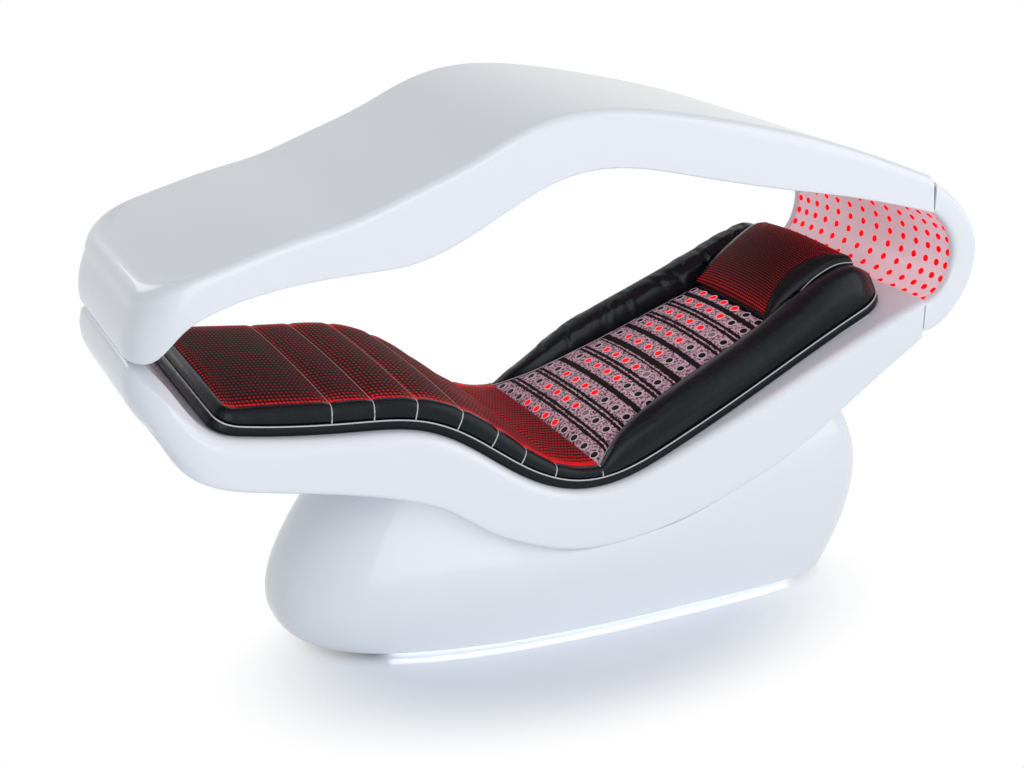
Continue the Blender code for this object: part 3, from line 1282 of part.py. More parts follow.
def main():
    """Build every piece."""
    clear_scene()
    lines = Lines()
    make_couch_shell(lines)
    make_deck_panel(lines)
    make_couch_rails(lines)
    make_hood_shell(lines)
    make_hood_lamp_panel(lines)
    make_hood_ribs(lines)
    make_hood_bolts(lines)
    make_hinge(lines)
    lid = [make_canopy_shell(lines), make_canopy_liner(lines)] + make_canopy_frame(lines)
    hang_on_hinge(lid, lines)
    make_lip_stops(lines)
    make_base_shell(lines)
    make_base_frame(lines)
    make_electrics()
    make_service_panel()
    make_rocker()
    make_fan()
    make_cushion_base(lines)
    make_lamp_mats(lines)
    make_leg_pad(lines)
    make_back_pad(lines)
    make_bolsters(lines)
    make_pillow(lines)
    centre_on_origin()


main()
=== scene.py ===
"""Red light therapy couch, dressed round its frame: shells, cushions, lamps and a plain studio."""
import math
import random

import bmesh
import bpy
import numpy as np
from bpy.props import FloatProperty, FloatVectorProperty, PointerProperty
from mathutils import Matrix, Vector
from mathutils.bvhtree import BVHTree


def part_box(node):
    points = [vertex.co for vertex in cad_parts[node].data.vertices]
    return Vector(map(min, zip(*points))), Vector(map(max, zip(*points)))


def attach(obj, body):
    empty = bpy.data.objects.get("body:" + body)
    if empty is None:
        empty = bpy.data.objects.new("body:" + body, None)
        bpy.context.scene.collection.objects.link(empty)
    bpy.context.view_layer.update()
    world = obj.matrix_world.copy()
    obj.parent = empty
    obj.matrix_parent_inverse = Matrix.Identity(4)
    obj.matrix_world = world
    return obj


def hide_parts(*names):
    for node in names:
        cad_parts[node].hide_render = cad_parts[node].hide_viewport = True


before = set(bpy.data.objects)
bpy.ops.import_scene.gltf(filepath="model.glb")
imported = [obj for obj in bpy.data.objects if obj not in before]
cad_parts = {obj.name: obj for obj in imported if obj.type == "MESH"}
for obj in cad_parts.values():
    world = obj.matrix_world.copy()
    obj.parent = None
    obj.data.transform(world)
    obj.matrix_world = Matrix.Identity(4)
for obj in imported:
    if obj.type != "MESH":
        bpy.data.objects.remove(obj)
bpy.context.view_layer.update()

bl_info = {
    "name": "Red light couch",
    "version": (1, 0, 0),
    "blender": (4, 5, 0),
    "location": "3D View > Sidebar > Couch",
    "description": "Dresses the frame of a red light couch with its shells, cushions, lamps and stage",
    "category": "Object",
}

# Side profiles of the shells as (x, z) in metres, from the foot end to the head end
DECK_POINTS = [
    (-1.105, 0.905), (-1.062, 0.852), (-1.020, 0.786), (-0.975, 0.746), (-0.900, 0.722),
    (-0.640, 0.686), (-0.463, 0.658), (-0.385, 0.622), (-0.279, 0.548), (-0.169, 0.474),
    (-0.055, 0.432), (0.062, 0.430), (0.239, 0.482), (0.480, 0.577), (0.728, 0.686), (1.000, 0.802),
]
RIM_POINTS = [
    (-1.142, 0.884), (-1.092, 0.850), (-1.052, 0.786), (-1.014, 0.735), (-0.949, 0.697),
    (-0.640, 0.654), (-0.463, 0.626), (-0.385, 0.588), (-0.279, 0.515), (-0.169, 0.444),
    (-0.055, 0.406), (0.062, 0.404), (0.239, 0.452), (0.480, 0.545), (0.728, 0.655), (1.000, 0.789),
]
BELLY_POINTS = [
    (-1.088, 0.728), (-1.039, 0.650), (-0.999, 0.626), (-0.862, 0.586), (-0.543, 0.505),
    (-0.413, 0.447), (-0.306, 0.370), (-0.196, 0.314), (-0.081, 0.275), (0.036, 0.264),
    (0.154, 0.274), (0.276, 0.298), (0.398, 0.338), (0.560, 0.405), (0.700, 0.488),
    (0.834, 0.580), (1.000, 0.688),
]
CREST_POINTS = [
    (-1.118, 1.050), (-1.070, 1.082), (-1.030, 1.103), (-0.943, 1.133), (-0.761, 1.181),
    (-0.620, 1.212), (-0.524, 1.245), (-0.327, 1.319), (-0.226, 1.365), (-0.124, 1.395),
    (-0.019, 1.403), (0.088, 1.395), (0.312, 1.354), (0.550, 1.296), (0.806, 1.212), (0.978, 1.146),
]
EDGE_POINTS = [
    (-1.140, 0.914), (-1.105, 0.921), (-1.070, 0.952), (-1.018, 1.008), (-0.972, 1.033),
    (-0.881, 1.059), (-0.600, 1.082), (-0.503, 1.087), (-0.404, 1.115), (-0.252, 1.189),
    (-0.148, 1.236), (-0.043, 1.259), (0.055, 1.257), (0.233, 1.221), (0.530, 1.154),
    (0.752, 1.108), (0.996, 1.044),
]
HOOD_OUTER_POINTS = [
    (1.000, 0.706), (1.032, 0.710), (1.090, 0.748), (1.148, 0.835), (1.161, 0.905),
    (1.1537, 0.957), (1.1256, 1.013), (1.085, 1.062), (1.048, 1.093), (1.000, 1.125),
]
HOOD_INNER_POINTS = [
    (1.000, 0.791), (1.047, 0.816), (1.080, 0.881), (1.083, 0.917), (1.061, 0.984),
    (1.033, 1.0176), (1.000, 1.043),
]
CURVE_COUNT = 1500

# Shells
HEAD_SEAM_X = 1.000
SEAM_GAP = 0.004
SHELL_WALL = 0.006
CORNER_X = -0.930
CORNER = 0.165
CORNER_STEPS = 18
CORNER_POWER = 2.4
FOOT_STEPS = 12
LONG_STATIONS = 150
SIDE_ROWS = 13
ROUND_STEPS = 7
SUPPORT = 0.010
EDGE_SOFTNESS = 0.006
EDGE_SHARE = 0.6
RIM_ROUNDING = 0.028
BELLY_ROUNDING = 0.012
BELLY_STEPS = 4
COUCH_BULGE = 0.022
DECK_FLANGE = 0.055
DECK_ROWS = 9
DECK_CLOSED_X = 0.890
DECK_ROW_FEET = (-0.950, -0.990, -1.045, -1.105)
CREST_ROUNDING = 0.022
CREST_END_ROUNDING = 0.070
CANOPY_BULGE = 0.010
CANOPY_FLANGE = 0.032
LINER_LAP = 0.014
LINER_SHEET = 0.004
LINER_HEAD_X = 0.985
LINER_THINNING = 6
HINGE_RADIUS = 0.030
HINGE_LIP_DEG = 36.0
HINGE_STEPS = 8
HINGE_SLOPE_STEP = 0.010
HOOD_STATIONS = 90
HOOD_ROUNDING = 0.016
HOOD_FLANGE = 0.008
HOOD_SHEET = 0.004
HOOD_SHEET_GAP = 0.002
HOOD_SHEET_STATIONS = 120
TOUCH_GAP = 0.0003
SHARP_DEG = 32.0

# Pedestal base: nose, tail and the setback of its sides, at the floor, the widest line and the top
BASE_LOW = (-0.725, 0.822, 0.028)
BASE_BULGE = (-0.765, 0.904, 0.004)
BASE_TOP = (-0.530, 0.790, 0.009)
BASE_BULGE_HEIGHT = (0.140, 0.260)
BASE_BULGE_RISE = 0.4
BASE_MIDDLE_X = 0.270
BASE_NOSE_POWER = 2.5
BASE_TAIL_POWER = 5.0
BASE_SPACING_POWER = 0.9
BASE_FLOOR_GAP = 0.019
BASE_SEAT_GAP = 0.0005
BASE_ROWS = 26
BASE_STATIONS = 150
BAY_MARGIN = 0.018
BAY_SETBACK = 0.007
BAY_DEPTH = 0.2
BAY_HEIGHT = 0.096
BAY_CORNER = 0.012

# Cushions: places along x, heights square to the deck
PAD_FOOT_X = -0.985
PAD_HEAD_X = 0.952
PAD_SETBACKS = [(-1.000, 0.035), (-0.300, 0.033), (0.000, 0.024), (0.170, 0.030), (0.480, 0.058),
                (0.780, 0.080), (1.000, 0.090)]
PAD_FOOT_ROUNDING = 0.035
PAD_HEAD_ROUNDING = 0.090
PAD_ROUND_STEPS = 8
PAD_STEP = 0.008
END_SHARE = 0.55
PIPING_SETBACK = 0.004
FOOT_LIFT = 0.005
SOFT_GAP = 0.0006
SOFT_SHARP_DEG = 60.0
BASE_PAD = 0.026
BASE_PAD_STEP = 0.014
BASE_PAD_ACROSS = 12
BASE_PAD_PROFILE = [(0.004, TOUCH_GAP), (0.001, 0.003), (0.0, 0.006), (-0.0012, BASE_PAD / 2),
                    (0.0, BASE_PAD - 0.006), (0.002, BASE_PAD - 0.002), (0.006, BASE_PAD)]
COVER_LOW = BASE_PAD + SOFT_GAP
MAT_TOP = 0.0297

# Leg and seat pad; its glow is given as gain and reach, or as gain, start and run
LEG_HEAD_X = 0.025
LEG_HEIGHTS = [(-0.985, 0.028), (-0.940, 0.033), (-0.860, 0.041), (-0.600, 0.045), (-0.300, 0.046),
               (-0.120, 0.030), (0.025, 0.022)]
LEG_SEAMS = (-0.697, -0.591, -0.490, -0.389, -0.302, -0.221, -0.123)
PALE_SEAMS = 4
LEG_BORDER = 0.026
LEG_BORDER_POWERS = (0.75, 0.85)
LEG_TOP_INSET = 0.003
LEG_TOP_DROP = 0.0006
LEG_CROWN = 0.007
LEG_LOOPS = 10
LEG_ACROSS = 56
CHANNEL_SHARE = 0.30
LEG_GLOW = 0.14
LEG_GLOW_EDGE = (0.72, 0.024)
LEG_GLOW_SEAM = (0.20, 0.022)
LEG_GLOW_FOOT = (0.32, 0.020)
LEG_GLOW_SEAT = (0.24, -0.40, 0.22)
LEG_GLOW_LEGS = (0.06, -0.75, 0.30)

# Back pad and its lamps
BACK_START_X = 0.028
BACK_HEAD_X = 0.650
BACK_SETBACKS = [(0.028, 0.055), (0.120, 0.107), (0.250, 0.137), (0.400, 0.158), (0.550, 0.174),
                 (0.650, 0.183), (0.950, 0.190)]
BACK_HEIGHTS = [(0.028, 0.020), (0.080, 0.041), (0.150, 0.056), (0.300, 0.064), (0.520, 0.068),
                (0.650, 0.062)]
BACK_PROFILE = ((0.0, 0.0), (0.0, 0.3), (0.02, 0.55), (0.12, 0.75), (0.35, 0.90), (0.65, 0.97),
                (1.0, 1.0))
BACK_CROWN = 0.010
BACK_SHOULDER = 0.040
BACK_ACROSS = 52
BACK_PIPING_RISE = 0.82
BACK_PIPING_SUNK = 0.002
BACK_ROWS_X = (0.040, 0.122, 0.190, 0.262, 0.322, 0.394, 0.462, 0.530, 0.593, 0.638)
BACK_COLUMNS = 11
BACK_LAMP_HEIGHT = 0.0014
EYELET_HEIGHT = 0.0013
EYELET_LAP = 0.0005
ABOVE_BACK = 0.25
LIT_COLUMNS = range(3, 7)
GREY_LAMPS = ((1, 7), (4, 7), (7, 7))
STRIPES = ("double", "double", "single", "double", "wide", "single", "double", "double", "single")
STRIPE_BANDS = {
    "single": ((-0.0090, 0.0090),),
    "double": ((-0.0130, -0.0025), (0.0025, 0.0130)),
    "wide": ((-0.0155, -0.0105), (-0.0055, 0.0145)),
}

# Bolsters; left is the near one
BOLSTER_HEAD_X = 0.930
BOLSTER_HEIGHTS = [(0.028, 0.022), (0.090, 0.066), (0.200, 0.097), (0.335, 0.112), (0.470, 0.116),
                   (0.600, 0.115), (0.741, 0.111), (0.860, 0.098), (0.930, 0.070)]
BOLSTER_SETTLED = {
    "left": [(0.028, 0.000), (0.300, -0.005), (0.500, -0.010), (0.640, -0.005), (0.760, 0.009),
             (0.860, 0.022), (0.895, 0.023), (0.930, 0.000)],
    "right": [(0.028, 0.000), (0.120, -0.008), (0.200, 0.002), (0.320, 0.016), (0.500, 0.022),
              (0.640, 0.024), (0.760, 0.027), (0.860, 0.029), (0.895, 0.025), (0.930, 0.000)],
}
BOLSTER_STEP = 0.0055
BOLSTER_AROUND = 30
BOLSTER_UNDER = 8
BOLSTER_SQUARE = ((0.10, 0.62, 0.70), (0.80, 0.62, 0.32))
BOLSTER_OUTER_POWER = 0.85
BOLSTER_RISE_POWER = 0.8
BOLSTER_SLACK = 0.02
BOLSTER_END = 0.016
BOLSTER_END_RINGS = ((0.92, 0.45), (0.72, 0.8), (0.40, 0.97))
FOLD_SHARE = {"left": 0.0, "right": 1.0}
FOLD_SEED = 7
FOLD_COUNT = 14
FOLD_START_X = 0.16
FOLD_SPACING = (0.030, 0.085)
FOLD_DEPTHS = (0.004, 0.010)
FOLD_GROWS = ((0.25, 0.45), (0.3, 1.0))
FOLD_LEAN = 0.05
FOLD_WIDTH = 0.0085
FOLD_RIDGE = (0.6, 1.7)
FOLD_EDGE = (0.1, 0.45)
FOLD_DRAWS_IN = 0.3
FOLD_LEAST_HEIGHT = 0.03

# Headrest pillow
PILLOW_START_X = 0.653
PILLOW_HEAD_X = 0.920
PILLOW_HEIGHTS = [(0.653, 0.078), (0.700, 0.108), (0.760, 0.131), (0.830, 0.141), (0.880, 0.137),
                  (0.920, 0.114)]
PILLOW_PIPING = [(0.653, 0.45), (0.700, 0.58), (0.760, 0.74), (0.820, 0.82), (0.920, 0.82)]
PILLOW_SHOULDERS = [(0.653, 0.014), (0.700, 0.036), (0.780, 0.052), (0.860, 0.038), (0.920, 0.016)]
PILLOW_PROFILE = ((0.08, 0.0), (0.01, 0.15), (0.0, 0.35), (0.0, 0.60), (0.04, 0.74), (0.14, 0.86),
                  (0.36, 0.945), (0.68, 0.985), (1.0, 1.0))
PILLOW_FREE_LOOP = 5
PILLOW_CROWN = 0.015
PILLOW_SPREAD = 0.026
PILLOW_ACROSS = 44
PILLOW_GLOW = 0.17
PILLOW_GLOW_EDGE = (0.14, 0.025)
PILLOW_GLOW_SEAT = (0.48, 0.035)
PILLOW_GLOW_HEAD = (0.48, 0.045)
PIPING_SUNK = {-1: 1.0, 1: 0.68}
PIPING_PROUD = 0.0003
CORD_SIDES = 6
CORD_UPRIGHT = 0.2

# Swelling of the cushions: pressure, and how far a point may move
LEG_SWELL = (3.0, 0.005)
BACK_SWELL = (2.0, 0.004)
BOLSTER_SWELL = (3.0, 0.006)
PILLOW_SWELL = (2.5, 0.006)
CLOTH_QUALITY = 5
CLOTH_FRAMES = 20

# Lamps of the hood and of the canopy
LAMP_ROWS = 9
LAMP_COLUMNS = 14
LAMP_SPREAD_DEG = 56.0
LAMP_EDGE = 0.012
LAMP_HEIGHT = 0.002
LENS_PROFILE = ((1.0, -0.4), (1.0, 0.25), (0.8, 0.72), (0.45, 0.95))
CANOPY_LENS_SIDES = 12
SHEET_COLUMNS = 24

# Studio: each lamp's name, place, size and power
STUDIO_LAMPS = (("key", (-1.6, -4.8, 2.4), 5.0, 132.0), ("fill", (3.8, -2.6, 2.2), 4.0, 62.0),
                ("top", (0.2, 0.6, 4.6), 4.0, 6.0), ("rim", (-2.4, 3.4, 2.6), 1.2, 8.5))
LAMPS_FACE = Vector((0.0, 0.0, 0.7))
WHITE = (1.0, 1.0, 1.0)
ROOM_LIGHT = (0.93, 0.96, 1.0)
ROOM_STRENGTH = 0.42
FLOOR_SIZE = 30.0
CAMERA_PLACE = (-1.8128, -3.641, 2.114)
CAMERA_TURN_DEG = (69.441, 0.0, -25.529)
CAMERA_SENSOR = 36.0
CAMERA_LENS = 56.25

# The CAD pieces that stay, by their finish
CARRIED = {
    "polished_gelcoat": ("deck_panel",),
    "textured_abs": ("hinge_damper_left", "hinge_damper_right", "control_unit", "service_panel",
                     "power_inlet", "switch_bezel", "fan_frame", "fan_rotor"),
    "coated_steel": ("couch_rail_left", "couch_rail_right", "hood_rib_left", "hood_rib_right",
                     "hood_bolt_left_1", "hood_bolt_left_2", "hood_bolt_right_1",
                     "hood_bolt_right_2", "hinge_shaft", "base_plate", "pedestal_plate_left",
                     "pedestal_plate_right"),
    "mill_aluminium": ("canopy_rib_left", "canopy_rib_right", "canopy_cross_tube_1",
                       "canopy_cross_tube_2", "canopy_cross_tube_3", "power_supply_1",
                       "power_supply_2"),
    "sintered_bronze": ("hinge_bush_left", "hinge_bush_right"),
    "moulded_rubber": ("lip_stop_left", "lip_stop_right", "foot_foot_end_left",
                       "foot_foot_end_right", "foot_head_end_left", "foot_head_end_right",
                       "rocker_switch"),
    "lit_diffuser": ("underglow_left", "underglow_right"),
    "circuit_film": ("leg_lamp_mat", "back_lamp_mat"),
}

HALF_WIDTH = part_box("couch_shell")[1][1]
# From the profiles' own x to the frame's
SHIFT = Vector((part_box("couch_shell")[1][0] - (HEAD_SEAM_X - SEAM_GAP), 0.0, 0.0))


def linear(code):
    """An sRGB hex colour in linear light."""
    parts = [int(code[i:i + 2], 16) / 255 for i in (0, 2, 4)]
    return tuple(c / 12.92 if c <= 0.04045 else ((c + 0.055) / 1.055) ** 2.4 for c in parts)


def colour(name, description, code):
    """A colour that a user can change."""
    return FloatVectorProperty(name=name, description=description, subtype="COLOR", size=3,
                               min=0.0, max=1.0, default=linear(code))


def length(name, description, value):
    """A size in metres that a user can change."""
    return FloatProperty(name=name, description=description, unit="LENGTH", subtype="DISTANCE",
                         default=value)


class CouchColours(bpy.types.PropertyGroup):
    """Colours of the couch's finishes."""
    gelcoat: colour("Gelcoat", "White of the moulded shells", "E4E8EE")
    leather: colour("Leather", "Black of the leather", "0C1012")
    thread: colour("Mesh thread", "Thread of the spacer mesh", "0D0708")
    glow: colour("Mesh glow", "Red light that comes through the mesh", "E8121C")
    lamp: colour("Lamp", "Red of a lit lamp", "FF0410")
    piping: colour("Piping", "Pale grey of the piping", "C9CACC")
    knit_pale: colour("Knit, pale", "Pale yarn of the back panel", "E3C4D1")
    knit_dark: colour("Knit, dark", "Dark yarn of the back panel", "452B36")
    stripe: colour("Stripe", "Dark stripes of the back panel", "12080D")
    eyelet: colour("Eyelet", "Pale ring round each lamp of the back panel", "E6DAE2")
    # Also the colour of the painted glow that lifts the lamp sheets out of shade
    lamp_sheet: colour("Lamp sheet", "Pale acrylic behind the lamps", "EDD5DD")
    strip: colour("Light strip", "Cold white of the light strips under the base", "EEF4FF")
    floor: colour("Floor", "Floor of the stage", "E9EDF4")


class CouchSizes(bpy.types.PropertyGroup):
    """Sizes of the couch's soft goods and trim."""
    piping: length("Piping", "Diameter of the piping", 0.0038)
    seam: length("Seam cord", "Diameter of the cord in the cross seams", 0.0032)
    channel_depth: length("Channel depth", "How far a sewn channel is drawn in", 0.0045)
    channel_width: length("Channel width", "Width of a sewn channel", 0.024)
    mesh_pitch: length("Mesh pitch", "Distance between the holes of the spacer mesh", 0.0108)
    lamp: length("Lamp", "Diameter of a lamp lens in the hood and canopy", 0.0195)
    back_lamp: length("Back lamp", "Diameter of a lamp in the back panel", 0.0215)
    eyelet: length("Eyelet", "Outer diameter of the ring round a back lamp", 0.0280)
    column_pitch: length("Column pitch", "Distance between lamps along a row of the back panel", 0.056)
    canopy_pitch: length("Canopy lamp pitch", "Distance between the lamps under the canopy", 0.062)


def connect(tree, node, inputs):
    """Set or link a node's inputs by name or number; a node given as an input is its first output."""
    for key, value in inputs.items():
        socket = node.inputs[key]
        if isinstance(value, bpy.types.Node):
            value = value.outputs[0]
        if isinstance(value, bpy.types.NodeSocket):
            tree.links.new(value, socket)
        else:
            socket.default_value = (*value, 1.0) if socket.type == "RGBA" else value


def add_node(tree, kind, inputs, **settings):
    """Add a shader node with its settings and inputs."""
    node = tree.nodes.new("ShaderNode" + kind)
    for key, value in settings.items():
        setattr(node, key, value)
    connect(tree, node, inputs)
    return node


def new_material(name, **values):
    """The node tree and shader of a new material; the shader's uniform values go by socket name."""
    material = bpy.data.materials.new(name)
    material.use_nodes = True
    tree = material.node_tree
    shader = tree.nodes["Principled BSDF"]
    connect(tree, shader, {key.replace("_", " "): value for key, value in values.items()})
    return tree, shader


def tone(value, share):
    """A colour made lighter or darker."""
    return tuple(c * share for c in value)


def leather(colours):
    """Black upholstery leather, embossed and half gloss: a pebbled grain that softens its highlights.

    The real grain of 1.5 mm is too fine to show, so it is drawn at 4 mm.
    """
    tree, shader = new_material("black_leather", IOR=1.48, Specular_IOR_Level=0.22,
                                Specular_Tint=(0.86, 0.93, 1.0))
    place = add_node(tree, "TexCoord", {}).outputs["Object"]
    grain = add_node(tree, "TexVoronoi", {"Vector": place, "Scale": 1 / 0.004})
    crease = add_node(tree, "TexNoise", {"Vector": place, "Scale": 1 / 0.055, "Detail": 3.0})
    fine = add_node(tree, "Bump", {"Height": grain.outputs["Distance"], "Strength": 0.10,
                                   "Distance": 0.0010})
    connect(tree, shader, {
        "Base Color": add_node(tree, "MixRGB", {"Fac": crease, "Color1": tone(colours.leather, 0.75),
                                                "Color2": tone(colours.leather, 1.7)}),
        "Roughness": add_node(tree, "MapRange", {"Value": crease, "To Min": 0.20, "To Max": 0.32}),
        "Normal": add_node(tree, "Bump", {"Height": crease, "Strength": 0.20, "Distance": 0.006,
                                          "Normal": fine}),
    })


def lay_coordinates(tree):
    """The cloth's lay, then its parts: metres along the deck and across it, and the share of light."""
    lay = add_node(tree, "Attribute", {}, attribute_name="lay").outputs["Vector"]
    return lay, *add_node(tree, "SeparateXYZ", {"Vector": lay}).outputs


def ripples(tree, place, pitch):
    """Humps of height 1 at a pitch along a coordinate."""
    phase = add_node(tree, "Math", {0: place, 1: math.pi / pitch}, operation="MULTIPLY")
    wave = add_node(tree, "Math", {0: phase}, operation="SINE")
    return add_node(tree, "Math", {0: wave}, operation="ABSOLUTE")


def shine_through(tree, shader, colours, hole, light, edges, width, strengths, relief):
    """Let red light through a mesh's holes, which open and brighten with the share of light."""
    edge = add_node(tree, "MapRange", {"Value": light, "To Min": edges[0], "To Max": edges[1]})
    end = add_node(tree, "Math", {0: edge, 1: width}, operation="ADD")
    mask = add_node(tree, "MapRange", {"Value": hole, "From Min": edge, "From Max": end},
                    interpolation_type="SMOOTHSTEP")
    strength = add_node(tree, "MapRange", {"Value": light, "To Min": strengths[0],
                                           "To Max": strengths[1]})
    connect(tree, shader, {
        "Emission Color": colours.glow,
        "Emission Strength": add_node(tree, "Math", {0: mask, 1: strength}, operation="MULTIPLY"),
        "Base Color": add_node(tree, "MixRGB", {"Fac": mask, "Color1": colours.thread,
                                                "Color2": tone(colours.glow, 0.25)}),
        "Normal": add_node(tree, "Bump", {"Height": hole, "Strength": relief[0],
                                          "Distance": relief[1]}),
    })


def spacer_mesh(colours, sizes):
    """Knitted polyester spacer mesh over lit lamps: black threads round small holes full of red light.

    Where most light comes through, the holes run together in rows. The real holes, about 3 mm
    apart, are drawn wider apart so that they show.
    """
    tree, shader = new_material("spacer_mesh", Roughness=0.75, Specular_IOR_Level=0.15)
    _, along, across, light = lay_coordinates(tree)
    pitch = sizes.mesh_pitch
    holes = add_node(tree, "Math", {0: ripples(tree, along, pitch),
                                    1: ripples(tree, across, pitch / 0.58)}, operation="MULTIPLY")
    blend = add_node(tree, "MapRange", {"Value": light, "From Min": 0.62, "From Max": 0.88})
    hole = add_node(tree, "Mix", {0: blend, 2: holes, 3: ripples(tree, along, pitch / 1.2)})
    shine_through(tree, shader, colours, hole, light, (0.72, 0.05), 0.35, (0.0, 0.90), (0.5, -0.0012))


def ribbed_mesh(colours):
    """Ribbed polyester mesh of the pillow: black rows with dashes of red light between, 7 mm apart."""
    tree, shader = new_material("ribbed_mesh", Roughness=0.7, Specular_IOR_Level=0.15)
    _, along, across, light = lay_coordinates(tree)
    dash = add_node(tree, "MapRange", {"Value": ripples(tree, across, 0.0080), "To Min": 0.30,
                                       "To Max": 1.0})
    hole = add_node(tree, "Math", {0: ripples(tree, along, 0.0070), 1: dash}, operation="MULTIPLY")
    shine_through(tree, shader, colours, hole, light, (0.86, 0.20), 0.3, (0.02, 0.85), (0.6, -0.0015))


def striped_knit(colours):
    """Jacquard knit of the back panel: grey-mauve speckled yarn with dark stripes that waver a little.

    The loops of the knit, about 1.5 mm wide, are drawn at 4.5 mm so that they show.
    """
    tree, shader = new_material("striped_knit", Roughness=0.85, Specular_IOR_Level=0.2)
    lay, along, _, _ = lay_coordinates(tree)
    waver = add_node(tree, "TexNoise", {"Vector": lay, "Scale": 1 / 0.012, "Detail": 2.0})
    sway = add_node(tree, "MapRange", {"Value": waver, "To Min": -0.0045, "To Max": 0.0045})
    place = add_node(tree, "Math", {0: along, 1: sway}, operation="ADD")
    low, high = DECK.along(BACK_START_X), DECK.along(BACK_HEAD_X)
    share = add_node(tree, "MapRange", {"Value": place, "From Min": low, "From Max": high})
    stripes = add_node(tree, "ValToRGB", {"Fac": share})
    ramp = stripes.color_ramp
    ramp.interpolation = "CONSTANT"
    ramp.elements[0].color = (0.0, 0.0, 0.0, 1.0)
    ramp.elements.remove(ramp.elements[1])
    rows = [DECK.along(x) for x in BACK_ROWS_X]
    for kind, before, after in zip(STRIPES, rows, rows[1:]):
        middle = (before + after) / 2
        for start, stop in STRIPE_BANDS[kind]:
            ramp.elements.new((middle + start - low) / (high - low)).color = (1.0, 1.0, 1.0, 1.0)
            ramp.elements.new((middle + stop - low) / (high - low)).color = (0.0, 0.0, 0.0, 1.0)
    loops = add_node(tree, "TexVoronoi", {"Vector": lay, "Scale": 1 / 0.0045})
    speck = add_node(tree, "TexNoise", {"Vector": lay, "Scale": 1 / 0.0085, "Detail": 3.0,
                                        "Roughness": 0.7})
    yarn = add_node(tree, "MapRange", {"Value": speck, "From Min": 0.42, "From Max": 0.54})
    ground = add_node(tree, "MixRGB", {"Fac": yarn, "Color1": colours.knit_dark,
                                       "Color2": colours.knit_pale})
    connect(tree, shader, {
        "Base Color": add_node(tree, "MixRGB", {"Fac": stripes, "Color1": ground,
                                                "Color2": colours.stripe}),
        "Normal": add_node(tree, "Bump", {"Height": loops.outputs["Distance"], "Strength": 0.5,
                                          "Distance": 0.0015}),
    })


def lit_lens(colours):
    """Red epoxy lens over a lit chip: clear, domed and full of saturated red light."""
    tree, shader = new_material("lit_lens", Roughness=0.35, Specular_IOR_Level=0.05,
                                Emission_Strength=1.1)
    place = add_node(tree, "TexCoord", {}).outputs["Object"]
    cloud = add_node(tree, "TexNoise", {"Vector": place, "Scale": 1 / 0.012})
    shade = add_node(tree, "MixRGB", {"Fac": cloud, "Color1": tone(colours.lamp, 0.9),
                                      "Color2": colours.lamp})
    connect(tree, shader, {"Base Color": shade, "Emission Color": shade})


def mottled(name, first, second, grain, rough, detail=3.0, bump=0.15, depth=None, **values):
    """A finish with a little life: two close colours and two roughnesses that change over a grain."""
    tree, shader = new_material(name, **values)
    place = add_node(tree, "TexCoord", {}).outputs["Object"]
    noise = add_node(tree, "TexNoise", {"Vector": place, "Scale": 1 / grain, "Detail": detail})
    connect(tree, shader, {
        "Base Color": add_node(tree, "MixRGB", {"Fac": noise, "Color1": first, "Color2": second}),
        "Roughness": add_node(tree, "MapRange", {"Value": noise, "To Min": rough[0],
                                                 "To Max": rough[1]}),
        "Normal": add_node(tree, "Bump", {"Height": noise, "Strength": bump,
                                          "Distance": depth or grain / 8}),
    })


